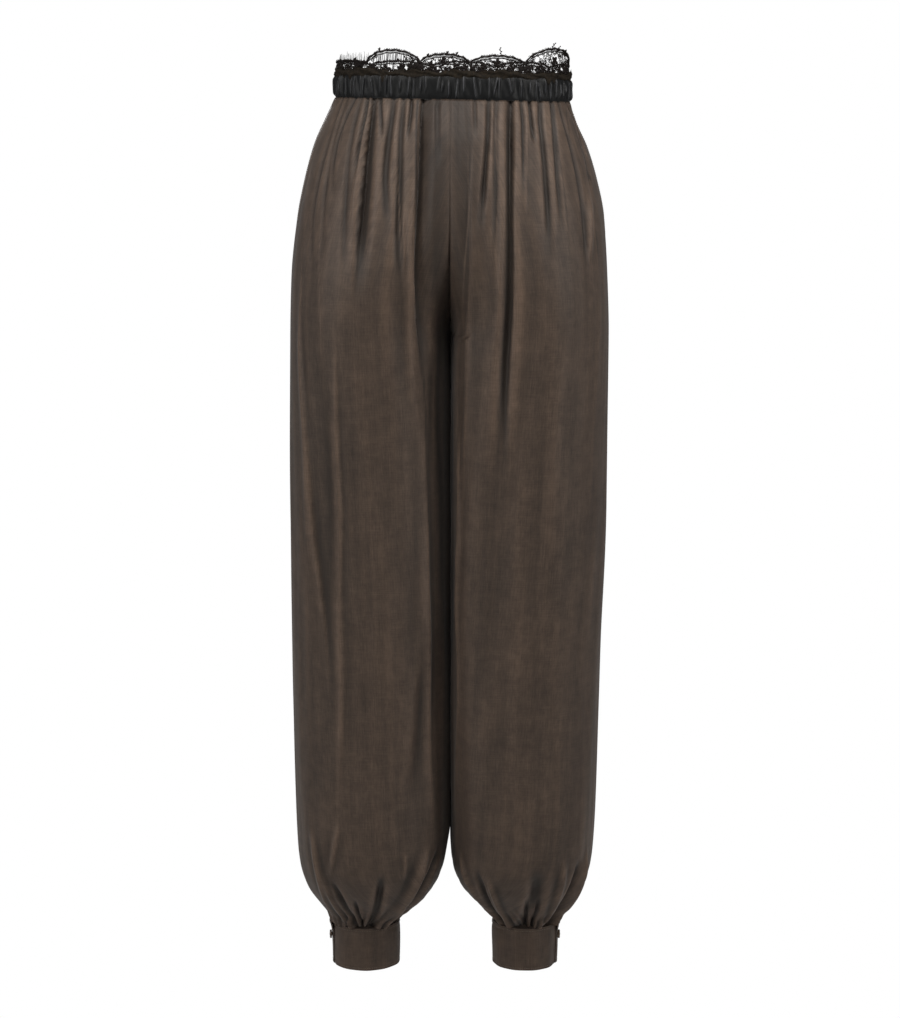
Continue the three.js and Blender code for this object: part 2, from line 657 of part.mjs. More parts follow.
// One half of the edging. Each scallop is cut flat and laid on the waist ring, and the
// scallops share their points where they meet.
function laceMesh(name, firstScallop) {
  const scallop = WAIST_LENGTH / LACE_SCALLOPS;
  const half = LACE_SCALLOPS / 2;
  const start = LACE_PHASE + (firstScallop - 0.5) * scallop + HALF_GAP;
  const width = scallop - SEAM_GAP / half;
  const flat = [];
  const known = new Map();
  const indexOf = (point) => {
    const key = point.x.toFixed(4) + "," + point.y.toFixed(4);
    if (!known.has(key)) {
      known.set(key, flat.length);
      flat.push(point);
    }
    return known.get(key);
  };
  const cut = [];
  for (let n = 0; n < half; n += 1) {
    const number = firstScallop + n;
    const edge = scallopEdge(start + n * width, width, number);
    const cells = LACE_CELLS.map((cell, c) => laceCell(cell, c, number, scallop));
    const all = [edge, ...cells].flat().map(indexOf);
    const flatFaces = THREE.ShapeUtils.triangulateShape(edge, cells);
    cut.push(...flatFaces.map((face) => face.map((index) => all[index])));
  }
  const count = flat.length;
  const rises = [LACE_FOOT_RISE + LACE_WALL, LACE_FOOT_RISE];
  const points = rises.flatMap((rise) =>
    flat.map(({ x, y }) => hang(waistPoint(x, rise, BAND_TOP_Z + SEAM_GAP + y))),
  );
  const directed = new Set(cut.flatMap(([a, b, c]) => [a + ">" + b, b + ">" + c, c + ">" + a]));
  const faces = [];
  for (const [a, b, c] of cut) {
    faces.push([a, b, c], [a + count, c + count, b + count]);
    for (const [from, to] of [[a, b], [b, c], [c, a]]) {
      if (directed.has(to + ">" + from)) continue;
      faces.push([to, from, from + count], [to, from + count, to + count]);
    }
  }
  return closedMesh(name, LACE_THREAD, points, faces);
}

// The outline of one scallop: along its foot, up, and back over its arched edge.
function scallopEdge(start, width, number) {
  const edge = [];
  const footSteps = Math.round(width / LACE_FOOT_STEP);
  for (let i = 0; i <= footSteps; i += 1) edge.push(new THREE.Vector2(start + (width * i) / footSteps, 0));
  for (let i = LACE_EDGE_POINTS; i >= 0; i -= 1) {
    const t = i / LACE_EDGE_POINTS;
    const picot = t > 0 && t < 1 ? 0.6 * uneven(i, number + 60) : 0;
    edge.push(new THREE.Vector2(start + width * t, scallopHeight(t, number) + picot));
  }
  return edge;
}

// One open cell as seven uneven points.
function laceCell(cell, index, number, scallop) {
  const corners = 7;
  const middle = LACE_PHASE + number * scallop + cell.s + 0.8 * uneven(index, number + 71);
  const stretch = number === LACE_TALL.scallop ? 1.12 : 1;
  const path = [];
  for (let k = 0; k < corners; k += 1) {
    const turn = -(2 * Math.PI * k) / corners + 0.4 * index;
    const size = 1 + 0.12 * uneven(k + 9 * index, number + 72);
    const s = middle + cell.halfWidth * size * Math.cos(turn);
    const h = stretch * (cell.h + cell.halfHeight * size * Math.sin(turn));
    path.push(new THREE.Vector2(s, h));
  }
  return path;
}

// ---- Cuffs and buttons --------------------------------------------------------------------
// Each cuff is one strip wound round the ankle, its outer end lapping over its inner end.
const CUFF_COLUMNS = 34;
const CUFF_FLARE = 3.2; // the free top corner of the lap stands out by this much
const CUFF_FLARE_END_Z = -966;
const CUFF_BELLY = 0.5;
const CUFF_LAP_TURN = 0.3; // the lap's edge lies this many radians in front of the leg's side
const BUTTON_Z = -974;
const BUTTON_RISE = CUFF_BELLY + 0.4;

function cuffSize(side) {
  const outer = seamAt[side](LEG_END_Z) - 2.2;
  const inner = inseamAt[side](LEG_END_Z) + 1.2;
  const reach = (outer - inner) / 2;
  const half = (depthAt.front(LEG_END_Z) + depthAt.back(LEG_END_Z)) / 2;
  return { middle: (outer + inner) / 2, reach, half, seamY: seamLineY(LEG_END_Z) };
}

// A point of the cuff's outer face; turn runs from the outer side of the leg round the front.
function cuffPoint(side, turn, rise, z) {
  const { middle, reach, half, seamY } = cuffSize(side);
  const sign = side === "left" ? 1 : -1;
  const x = middle + (reach + rise) * Math.cos(turn);
  return [sign * x, seamY - (half + rise) * Math.sin(turn), z];
}

function cuffMesh(side) {
  const { reach, half } = cuffSize(side);
  const round = Math.PI * (reach + half);
  const lapTurn = (2 * Math.PI * CUFF_LAP) / round;
  const full = 2 * Math.PI + lapTurn;
  const under = CUFF_WALL + CUFF_LAP_CLEARANCE;
  const at = evenColumns(CUFF_COLUMNS);
  const heights = [LEG_END_Z - SEAM_GAP, CUFF_FLARE_END_Z, CUFF_END_Z];
  const rows = heights.map((z, r) => {
    const outer = [];
    const inner = [];
    for (const t of at) {
      const turn = CUFF_LAP_TURN - lapTurn + t * full;
      const tucked = -under * (1 - smooth((t * full - lapTurn - 0.05) / 0.5));
      const flare = r === 0 ? CUFF_FLARE * smooth((t * full - 2 * Math.PI + 0.4) / 0.5) : 0;
      const belly = r === 1 ? CUFF_BELLY : 0;
      const rise = tucked + flare + belly;
      outer.push(cuffPoint(side, turn, rise, z));
      inner.push(cuffPoint(side, turn, rise - CUFF_WALL, z));
    }
    return { at, outer, inner };
  });
  return sheetMesh(side + "_cuff", CUFF_SILK, rows);
}

function buttonMesh(side) {
  const disc = new THREE.Shape();
  disc.absarc(0, 0, BUTTON_RADIUS, 0, 2 * Math.PI, false);
  for (const [x, y] of [[1, 1], [-1, 1], [-1, -1], [1, -1]]) {
    const hole = new THREE.Path();
    hole.absarc(x * 1.15, y * 1.15, 0.65, 0, 2 * Math.PI, true);
    disc.holes.push(hole);
  }
  const depth = BUTTON_THICKNESS;
  const geometry = new THREE.ExtrudeGeometry(disc, { depth, bevelEnabled: false, curveSegments: 8 });
  geometry.deleteAttribute("normal");
  geometry.deleteAttribute("uv");
  const button = new THREE.Mesh(mergeVertices(geometry), new THREE.MeshStandardMaterial(HORN));
  button.name = side + "_cuff_button";
  const turn = CUFF_LAP_TURN - 0.22;
  const [x, y, z] = cuffPoint(side, turn, BUTTON_RISE, BUTTON_Z);
  const [farX, farY] = cuffPoint(side, turn, 10, BUTTON_Z);
  button.position.set(x, y, z);
  button.lookAt(farX, farY, z);
  return button;
}

// ---- Assembly -----------------------------------------------------------------------------
const pants = new THREE.Group();
panels.forEach((panel) => pants.add(panelMesh(panel)));
pants.add(bandMesh(), frillMesh());
pants.add(laceMesh("lace_front", -2), laceMesh("lace_back", 3));
for (const side of ["right", "left"]) {
  pants.add(facingMesh(side), cuffMesh(side), buttonMesh(side));
}

export default pants;
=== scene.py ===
# %% [markdown]
# # Balloon pants
# Wide silk trousers, gathered at the top into a ruched, coated waistband and at the ankles into
# two buttoned cuffs. A frayed strip of chiffon and a scalloped lace edging stand above the band.
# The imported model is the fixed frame: it says where every piece is, and each cell below makes
# one piece or one finish at real size around it.

# %% Load the frame
import math

import bpy
import numpy as np
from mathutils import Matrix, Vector


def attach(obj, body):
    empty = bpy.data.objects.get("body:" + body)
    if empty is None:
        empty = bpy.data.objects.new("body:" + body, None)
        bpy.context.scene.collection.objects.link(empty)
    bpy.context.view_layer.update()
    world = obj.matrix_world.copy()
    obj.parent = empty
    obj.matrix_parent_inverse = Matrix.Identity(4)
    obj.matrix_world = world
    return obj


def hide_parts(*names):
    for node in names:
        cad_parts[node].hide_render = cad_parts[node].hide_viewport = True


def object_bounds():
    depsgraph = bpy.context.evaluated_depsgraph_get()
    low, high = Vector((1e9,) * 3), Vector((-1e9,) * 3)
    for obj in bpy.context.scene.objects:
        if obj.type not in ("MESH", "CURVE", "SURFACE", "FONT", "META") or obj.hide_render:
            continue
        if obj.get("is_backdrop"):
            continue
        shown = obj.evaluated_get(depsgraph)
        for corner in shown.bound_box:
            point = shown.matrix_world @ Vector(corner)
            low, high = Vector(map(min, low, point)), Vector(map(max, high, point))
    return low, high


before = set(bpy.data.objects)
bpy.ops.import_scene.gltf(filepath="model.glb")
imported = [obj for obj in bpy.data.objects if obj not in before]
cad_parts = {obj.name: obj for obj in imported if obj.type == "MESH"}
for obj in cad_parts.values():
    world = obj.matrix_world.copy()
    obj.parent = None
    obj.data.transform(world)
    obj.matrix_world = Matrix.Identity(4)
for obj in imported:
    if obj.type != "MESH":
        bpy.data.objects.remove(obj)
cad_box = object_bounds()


def new_object(name, data):
    """An object with its data, linked into the scene."""
    thing = bpy.data.objects.new(name, data)
    bpy.context.scene.collection.objects.link(thing)
    return thing


def dress(thing, node=None):
    """Puts a piece on the one body, hides the solid that it replaces, if any, and prints its triangles."""
    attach(thing, "root")
    if node:
        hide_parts(node)
    print(thing.name, sum(len(face.vertices) - 2 for face in thing.data.polygons), "triangles")


print("nodes:", sorted(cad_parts))

# %% [markdown]
# ## Camera
# The camera comes first, because it decides how fine the cloth has to be. It stands at waist
# height, well back, and looks a little down, so the legs keep their length.

# %% Camera
CAMERA_PLACE = Vector((0, -2.72, -0.038))
CAMERA_AIM = Vector((0, 0, -0.471))
camera = new_object("camera", bpy.data.cameras.new("camera"))
camera.data.lens = 85.76
camera.data.sensor_width = 36
camera.location = CAMERA_PLACE
camera.rotation_euler = (CAMERA_AIM - CAMERA_PLACE).to_track_quat("-Z", "Y").to_euler()
bpy.context.scene.camera = camera
bpy.context.scene.view_settings.view_transform = "Standard"
print("camera", round((CAMERA_AIM - CAMERA_PLACE).length, 2), "m from its aim")

# %% [markdown]
# ## Node trees
# Materials, the world and Geometry Nodes are all trees of nodes. A small helper that adds one
# node, sets its properties and fills its inputs keeps every tree below short.

# %% A helper for nodes
def add_node(tree, kind, props=(), **inputs):
    """One node with its properties set; an input takes a value or another node's output.

    An input is given by its name, or as i0, i1 and so on where names repeat.
    """
    node = tree.nodes.new(kind)
    for name, value in dict(props).items():
        setattr(node, name, value)
    for name, value in inputs.items():
        socket = node.inputs[int(name[1:]) if name[1:].isdigit() else name.replace("_", " ")]
        if isinstance(value, bpy.types.NodeSocket):
            tree.links.new(value, socket)
        else:
            socket.default_value = value
    return node

# %% [markdown]
# ## Floor and light
# A studio sweep is white because far more light falls on it than on the clothes. Here the camera
# sees the world and the floor as plain white, while the light that reaches the cloth is softer:
# a tall box at the upper left and one at the right, a weak one further round to the left, one
# behind, and a wide one overhead, which makes the hips brighter than the hems.

# %% World
world = bpy.data.worlds.new("studio")
bpy.context.scene.world = world
world.use_nodes = True
world.node_tree.nodes.clear()
seen = add_node(world.node_tree, "ShaderNodeBackground", Color=(1, 1, 1, 1), Strength=1.0)
fill = add_node(world.node_tree, "ShaderNodeBackground", Color=(0.95, 0.97, 1, 1), Strength=0.16)


def camera_sees(tree, shown, real):
    """One shader for the camera and another for the light."""
    ray = add_node(tree, "ShaderNodeLightPath")
    return add_node(tree, "ShaderNodeMixShader", i0=ray.outputs["Is Camera Ray"],
                    i1=real.outputs[0], i2=shown.outputs[0])


both = camera_sees(world.node_tree, seen, fill)
add_node(world.node_tree, "ShaderNodeOutputWorld", Surface=both.outputs[0])
print("world light:", round(fill.inputs["Strength"].default_value, 2))

# %% Floor
def new_material(name):
    """An empty node material and its tree."""
    material = bpy.data.materials.new(name)
    material.use_nodes = True
    material.node_tree.nodes.clear()
    return material, material.node_tree


FLOOR_Z, FLOOR_REACH = -1.12, 9
floor_mesh = bpy.data.meshes.new("floor")
floor_corners = [(x * FLOOR_REACH, y * FLOOR_REACH, FLOOR_Z)
                 for x, y in ((-1, -1), (1, -1), (1, 1), (-1, 1))]
floor_mesh.from_pydata(floor_corners, [], [(0, 1, 2, 3)])
floor = new_object("floor", floor_mesh)
floor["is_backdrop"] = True
floor_paint, tree = new_material("white_floor")
matt = add_node(tree, "ShaderNodeBsdfDiffuse", Color=(0.55, 0.54, 0.53, 1))
white = add_node(tree, "ShaderNodeEmission", Color=(1, 1, 1, 1), Strength=1.0)
top = camera_sees(tree, white, matt)
clear = add_node(tree, "ShaderNodeBsdfTransparent")
side = add_node(tree, "ShaderNodeNewGeometry")
sheet_of_floor = add_node(tree, "ShaderNodeMixShader", i0=side.outputs["Backfacing"],
                          i1=top.outputs[0], i2=clear.outputs[0])
add_node(tree, "ShaderNodeOutputMaterial", Surface=sheet_of_floor.outputs[0])
floor_mesh.materials.append(floor_paint)
print("floor at z", FLOOR_Z, "m")

# %% Lamps
LEGS, WAIST = (0, 0, -0.4), (0, 0, -0.05)
LAMPS = [  # name, place, aim, width, height, watts, colour
    ("key_left", (-1.95, -1.85, 0.75), LEGS, 0.7, 1.4, 32.5, (1, 0.975, 0.94)),
    ("side_right", (2.25, -1.3, 0.5), LEGS, 0.7, 1.6, 33.5, (1, 0.975, 0.945)),
    ("side_left", (-2.3, -0.9, 0.5), LEGS, 0.7, 1.6, 10, (0.97, 0.98, 1)),
    ("back", (-0.4, 2.7, 0.7), LEGS, 1.2, 1.4, 30, (0.98, 0.99, 1)),
    ("top", (0.1, -0.8, 1.0), WAIST, 1.2, 0.6, 20, (1, 0.98, 0.95)),
]


def soft_box(name, place, aim, width, height, watts, colour):
    """A rectangular area lamp that shines from place towards aim."""
    lamp = bpy.data.lights.new(name, "AREA")
    lamp.shape, lamp.size, lamp.size_y = "RECTANGLE", width, height
    lamp.energy, lamp.color = watts, colour
    holder = new_object(name, lamp)
    holder.location = place
    holder.rotation_euler = (Vector(aim) - Vector(place)).to_track_quat("-Z", "Y").to_euler()
    holder.visible_camera = False


for lamp in LAMPS:
    soft_box(*lamp)
print("lamps:", [lamp[0] for lamp in LAMPS])

# %% [markdown]
# ## Tables and curves
# A pattern cutter measures a garment at a few heights and draws a fair line through the
# measures. The tables below hold such measures in millimetres, top row first, and `curve_of`
# draws a line through one column that never swings past its rows.

# %% Helpers for sizes
MM = 0.001
SIDES = ("right", "left")
SIGN = {"left": 1, "right": -1}  # the wearer's left is +X


def smooth(t):
    """0 to 1 with a soft start and end."""
    c = np.clip(t, 0, 1)
    return c * c * (3 - 2 * c)


def uneven(index, salt):
    """A steady value between -1 and 1 for each index, so that nothing made by hand is regular."""
    turn = np.sin(np.asarray(index) * 12.9898 + salt * 78.233) * 43758.5453
    return 2 * (turn - np.floor(turn)) - 1


def odd(index, salt):
    """The same for one index, as a plain number."""
    return float(uneven(index, salt))


def through(t, first, middle, last):
    """A parabola through three values, at t = 0, 1/2 and 1."""
    return first * (1 - t) * (1 - 2 * t) + 4 * middle * t * (1 - t) + last * t * (2 * t - 1)


def table(columns, rows):
    """Rows of numbers as a dict of arrays, one for each named column."""
    return {name: np.array([row[i] for row in rows]) for i, name in enumerate(columns.split())}


def curve_of(rows, column):
    """A smooth function of z through one column of a table."""
    z, value = rows["z"][::-1].astype(float), rows[column][::-1].astype(float)
    rise = np.diff(value) / np.diff(z)
    product = rise[:-1] * rise[1:]
    total = np.where(product > 0, rise[:-1] + rise[1:], 1)
    inner = np.where(product > 0, 2 * product / total, 0)
    slope = np.concatenate([rise[:1], inner, rise[-1:]])

    def at(height):
        h = np.clip(height, z[0], z[-1])
        i = np.clip(np.searchsorted(z, h, side="right") - 1, 0, len(z) - 2)
        span = z[i + 1] - z[i]
        t = (h - z[i]) / span
        ends = (2 * t**3 - 3 * t**2 + 1) * value[i] + (3 * t**2 - 2 * t**3) * value[i + 1]
        return ends + span * ((t**3 - 2 * t**2 + t) * slope[i] + (t**3 - t**2) * slope[i + 1])

    return at


print("uneven values:", [round(odd(i, 1), 2) for i in range(4)])

# %% Measures of the four silk panels
SIDE_SEAMS = table("z right left", [
    (-12.5, 126.5, 132.5), (-35, 137.5, 139.8), (-62, 150, 152), (-100, 161.2, 163.4),
    (-140, 169.6, 171.4), (-205, 176.7, 175.6), (-270, 178.5, 177.4), (-460, 180.5, 177.1),
    (-634, 180, 172), (-812, 177.2, 167.9), (-860, 175.6, 165.6), (-884, 173.2, 162.8),
    (-908, 166.5, 155), (-932, 151.5, 142.2), (-944, 143.8, 133.2), (-956, 139.6, 127.6),
])
DEPTHS = table("z front back seam", [
    (-12.5, 93, 93, 0), (-35, 103, 106, 1), (-62, 112, 118, 2), (-130, 121, 134, 4),
    (-200, 124, 140, 4), (-270, 120, 132, 3), (-400, 112, 114, 1), (-560, 105, 106, 0),
    (-720, 99, 104, 0), (-830, 98, 104, 1), (-872, 94, 100, 2), (-900, 82, 90, 3),
    (-925, 63, 73, 4), (-944, 43, 54, 5), (-956, 33.5, 43.5, 5),
])
CENTRE_SEAM = table("z merge", [
    (-12.5, 0), (-60, 0), (-105, 0.17), (-140, 0.338), (-180, 0.563), (-210, 0.751),
    (-238, 0.914), (-257, 0.983), (-270, 1),
])
INSEAMS = table("z right left", [
    (-270, 0.1, 0.1), (-300, 0.1, 0.1), (-400, 0.1, 0.1), (-835, 0.1, 0.1), (-872, 4.6, 1.4),
    (-896, 10.9, 6.1), (-920, 24.3, 20.6), (-938, 41, 38.8), (-950, 55.5, 48.5),
    (-956, 60.2, 50.8),
])
SQUARENESS = table("z outer right_front left_front back", [
    (-12.5, 2.3, 2.3, 2.3, 2.3), (-200, 2.35, 2.35, 2.6, 2.35), (-300, 2.4, 2.3, 3.4, 2.5),
    (-760, 2.4, 2.4, 3.4, 2.5), (-860, 2.3, 2.3, 2.5, 2.3), (-956, 2.1, 2.1, 2.1, 2.1),
])
BAND_BOTTOM, BAND_TOP = -12.5, 12.5
CROTCH_Z = -270
LEG_END = -956
SEAM_HALF_GAP = 0.05

side_seam = {side: curve_of(SIDE_SEAMS, side) for side in SIDES}
inseam = {side: curve_of(INSEAMS, side) for side in SIDES}
depth = {face: curve_of(DEPTHS, face) for face in ("front", "back")}
seam_line_y = curve_of(DEPTHS, "seam")
centre_merge = curve_of(CENTRE_SEAM, "merge")
outer_square = curve_of(SQUARENESS, "outer")
print("hip width at z -205:", round(float(side_seam["right"](-205) + side_seam["left"](-205))), "mm")

# %% [markdown]
# ## The calm form of a panel
# Before any fold, each quarter of the trousers is a plain curved sheet. At one height its line
# runs from the side seam round to the centre seam or the inseam, on a squared-off ellipse. The
# trousers are tilted a little: the band hangs lower at the wearer's left, and `hang` lowers
# every point near the waist by the same rule. Such a form could be modelled by hand; a formula
# lets the folds, the trims and the stitches all be set on one surface.

# %% Section lines
SECTION_STEPS = 360
BAND_TILT, TILT_END_Z = 0.019, -150
MOUTH_TOP, MOUTH_LONG, MOUTH_WIDE = -22, 144, 6


def hang(points):
    """Lowers points towards the wearer's left, fading out down to TILT_END_Z."""
    grip = smooth((points[..., 2] - TILT_END_Z) / (BAND_BOTTOM - TILT_END_Z))
    lowered = points.copy()
    lowered[..., 2] -= BAND_TILT * points[..., 0] * grip
    return lowered


def section_line(side, face, z):
    """The calm line of one panel at one height: distance along it, x from the centre, and y."""
    sign = 1 if face == "back" else -1
    column = "back" if face == "back" else side + "_front"
    square = float(curve_of(SQUARENESS, column)(z))
    out, seam_y = float(side_seam[side](z)), float(seam_line_y(z))
    reach_y = float(depth[face](z)) - sign * seam_y
    merge = float(centre_merge(z))
    inner = out * (merge - 1) / (merge + 1) if z > CROTCH_Z else float(inseam[side](z))
    turn = np.linspace(0, math.pi, SECTION_STEPS + 1)
    across = np.cos(turn)
    power = 2 / np.where(across > 0, float(outer_square(z)), square)
    x = (out + inner) / 2 + np.sign(across) * (out - inner) / 2 * np.abs(across) ** power
    y = seam_y + sign * reach_y * np.abs(np.sin(turn)) ** power
    past = np.flatnonzero(x < SEAM_HALF_GAP)
    if len(past):
        k = past[0]
        cut = (x[k - 1] - SEAM_HALF_GAP) / (x[k - 1] - x[k])
        x = np.append(x[:k], SEAM_HALF_GAP)
        y = np.append(y[:k], y[k - 1] + cut * (y[k] - y[k - 1]))
    s = np.concatenate([[0], np.cumsum(np.hypot(np.diff(x), np.diff(y)))])
    return s, x, y


def mouth_width(z):
    """The pocket mouth draws the front panel back from the side seam in a long lens."""
    t = (MOUTH_TOP - z) / MOUTH_LONG
    return np.where((t > 0) & (t < 1), MOUTH_WIDE * np.sin(math.pi * np.clip(t, 0, 1)), 0)


def panel_point(side, face, z, at, from_middle=False):
    """A point of a panel's calm form, at a distance from its side seam or its middle seam."""
    s, x, y = section_line(side, face, z)
    at = s[-1] - at if from_middle else at
    return [SIGN[side] * np.interp(at, s, x), np.interp(at, s, y), z]


print("quarter waist:", round(float(section_line("left", "front", BAND_BOTTOM)[0][-1]), 1), "mm")

# %% [markdown]
# ## Folds
# Gathered silk folds where the band and the cuffs squeeze it, and hangs in long soft creases
# between. Each row of the table is one fold: its height (negative is a trough), how far it
# spreads towards the side and towards the centre, the heights where it starts and ends, and its
# distance from the centre at the top, half way and at the end. A fold whose two sides differ
# looks lapped, and `edge` makes its crest round (2) or sharp (1). `lean` tips it over sideways.
# The words band and cuff stand for the heights of those two seams. A cloth simulation could find
# folds of its own, but a table puts each fold where this garment has it.

# %% Folds of the front
FOLD_COLUMNS = "height side centre top end x_top x_mid x_end edge lean"
HEIGHT_NAMES = {"band": BAND_BOTTOM, "cuff": LEG_END}


def text_rows(panels):
    """The rows of all panels in order, each with its panel in front; a height may be a name."""
    return [
        (panel, *(HEIGHT_NAMES[word] if word in HEIGHT_NAMES else float(word) for word in line.split()))
        for panel, text in panels.items() for line in text.strip().splitlines()
    ]


FRONT_FOLDS = {"right_front": """
    -1.4 5 5 band -225 116 146 146 2 0
    -1.2 4 5 band -200 111 135 136 2 0
    -1.9 4 5 band -120 102 125 124 2 0
    -1.7 3.5 5 band -215 96 113 112 2 0
    -3.4 3 4 band -110 89 98 101 2 0
    -6.4 4 13 band -235 82 95 100 1.6 -1
    2.6 7 3 -30 -190 90 99 104 1.5 -1
    -3.4 4 4 band -60 75 74 73 2 0
    -3.2 5 7 band -165 60 69 64 2 0
    -3.6 4 6 band -215 50 56 54 2 0
    -3.2 3 4 band -62 42 44 46 2 0
    -7 4 15 band -330 29 35 29 1.6 -1
    2.6 10 4 -30 -400 37 42 33 1.5 -1
    -2.2 4 5 band -90 13 14 14 2 0
    1.5 1.8 1.8 -115 -225 50 50 50 1.4 0
    1.4 1.8 1.8 -30 -120 60 60 58 1.4 0
    3.2 12 4 -150 -720 162 155 126 1.3 0
    3.6 12 4 -225 -830 126 121 124 1.3 0
    -4 20 24 -240 -800 140 139 146 2 0
    3.2 14 6 -330 -900 30 24 18 1.5 0
    -3.5 16 30 -560 -860 22 30 50 2 0
""", "left_front": """
    -0.8 4 4 band -100 6 8 9 2 0
    -1.1 4 5 band -200 19 20 14 2 0
    -1.4 3 4 band -55 27 28 28 2 0
    -3.8 4 5 band -160 42 38 33 2 0
    -3 4 5 band -190 50 49 48 2 0
    -7.6 4 11 band -420 67 64 57 1.6 0
    2.4 9 4 -25 -330 59 56 50 1.5 0
    -3.4 3 5 band -120 77 80 83 2 0
    2.8 2.6 3.2 -20 -150 82 81 78 1.4 0
    -4.2 3 4 band -62 86 88 92 2 0
    -4.8 4 7 band -185 98 104 109 1.8 0
    -3.2 4 5 band -170 110 117 121 2 0
    -1.8 4 5 band -225 118 142 150 2 0
    -3 4 4 band -130 126 148 155 2 0
    4 10 7 -110 -190 151 151 153 1.8 0
    2.2 10 4 -50 -440 24 21 11 1.4 0
    2.2 5 3 -250 -830 8 9 6 1.3 0
    -3.4 22 30 -330 -800 52 48 44 2 0
    2.4 20 14 -240 -720 118 112 104 2 0
"""}
print("folds of the two fronts:", len(text_rows(FRONT_FOLDS)))

# %% Folds of the hems and of the back
HEM_FOLDS = {"right_front": """
    3.4 9 7 -815 cuff 158 147 127 1.5 0
    3 8 3 -806 -884 124 128 137 1.4 0
    3.4 7 4 -868 cuff 145 133 112 1.5 0
    -5.4 4 6 -880 cuff 135 122 107 1.8 0
    -4.6 3 3 -905 cuff 108 104 99 1.8 0
    -7 8 7 -868 cuff 76 82 92 1.7 0
    2.2 3 3 -846 -886 51 51 52 1.3 0
    5.6 15 9 -838 cuff 24 43 78 1.6 0
    -9 9 12 -846 cuff 12 30 68 1.7 0
""", "left_front": """
    4 8 8 -846 cuff 10 26 62 1.5 0
    -6 6 5 -868 cuff 30 40 63 1.7 0
    4.4 6 5 -872 cuff 42 54 70 1.5 0
    -9.5 15 13 -862 cuff 98 95 82 1.8 0
    -5 4 3 -905 cuff 88 87 85 1.8 0
    -5 3 3 -905 cuff 103 100 95 1.8 0
    4.2 8 7 -846 cuff 130 124 104 1.5 0
    -9 10 9 -858 cuff 147 136 112 1.7 0
    3.8 6 9 -846 cuff 156 149 118 1.5 0
"""}
BACK_FOLDS = {"right_back": """
    -6.5 11 5 band -260 70 80 84 1.7 0
    -5.5 9 4 band -180 104 118 124 1.7 0
    -6 12 5 band -300 30 36 31 1.7 0
    -4 5 5 band -150 50 55 58 2 0
    3.2 4 12 -200 -820 118 118 108 1.3 0
    3 4 12 -260 -700 152 148 140 1.3 0
    -4 26 24 -330 -860 60 56 62 2 0
    3 5 12 -300 -840 28 22 20 1.4 0
    -8 10 12 -856 cuff 118 112 104 1.7 0
    5.5 8 6 -846 cuff 140 132 114 1.5 0
    -7 9 8 -862 cuff 62 70 84 1.7 0
    5 7 6 -850 cuff 30 46 76 1.5 0
""", "left_back": """
    -6.5 5 11 band -300 78 86 88 1.7 0
    -5.5 4 9 band -190 44 40 36 1.7 0
    -5 5 9 band -210 112 128 134 1.8 0
    -3.6 4 5 band -130 20 24 24 2 0
    3.2 12 4 -230 -850 132 130 116 1.3 0
    2.8 12 4 -180 -640 96 92 84 1.3 0
    -4 24 26 -400 -870 74 66 58 2 0
    3 12 5 -280 -800 24 20 18 1.4 0
    -8 9 12 -852 cuff 74 78 86 1.7 0
    5.5 8 6 -846 cuff 104 104 96 1.5 0
    -7 8 9 -860 cuff 136 128 110 1.7 0
    5 7 6 -850 cuff 20 36 64 1.5 0
"""}
folds = table("panel " + FOLD_COLUMNS, text_rows(FRONT_FOLDS) + text_rows(HEM_FOLDS) + text_rows(BACK_FOLDS))
print("folds placed by hand:", len(folds["panel"]))

# %% Height of the folds on one panel
FOLD_GAIN = 1.35


def crest(distance, side, centre, edge):
    """Cross-section of a fold: 1 on its line, 0 at its two feet."""
    q = np.abs(distance) / np.where(distance < 0, side, centre)
    return np.where(q < 1, (1 - np.minimum(q, 1) ** edge) ** 2, 0)


def placed_folds(name, z, s, lines):
    """Outward and sideways shift of every point from the folds in the table."""
    height, sideways = np.zeros_like(s), np.zeros_like(s)
    gain = FOLD_GAIN if name.endswith("front") else 1
    for k in np.flatnonzero(folds["panel"] == name):
        f = {column: folds[column][k] for column in FOLD_COLUMNS.split()}
        rows = np.flatnonzero((z <= f["top"]) & (z >= f["end"]))
        t = (f["top"] - z[rows]) / (f["top"] - f["end"])
        x = through(t, f["x_top"], f["x_mid"], f["x_end"])
        x = x + 0.9 * np.sin(z[rows] / 31 + 3 * k) * smooth(t / 0.2)
        start = 0.55 + 0.45 * smooth(t / 0.12) if f["top"] >= BAND_BOTTOM else smooth(t / 0.38)
        stop = smooth((1 - t) / 0.45) if f["end"] > LEG_END else 1
        strength = start * stop * (1 + 0.16 * np.sin(z[rows] / 53 + 2 * k))
        for row, place, part in zip(rows, x, strength * np.ones(len(rows))):
            line_s, line_x, _ = lines[row]
            at = np.interp(-place, -line_x, line_s)
            spread = 1 + 0.4 * min(1, (f["top"] - z[row]) / 260)
            shape = crest(s[row] - at, spread * f["side"], spread * f["centre"], f["edge"])
            height[row] += gain * f["height"] * part * shape
            sideways[row] += f["lean"] * part * shape**2
    return height, sideways


print("height of a round fold half way down its side:", round(float(crest(0.5, 1, 1, 2)), 2))
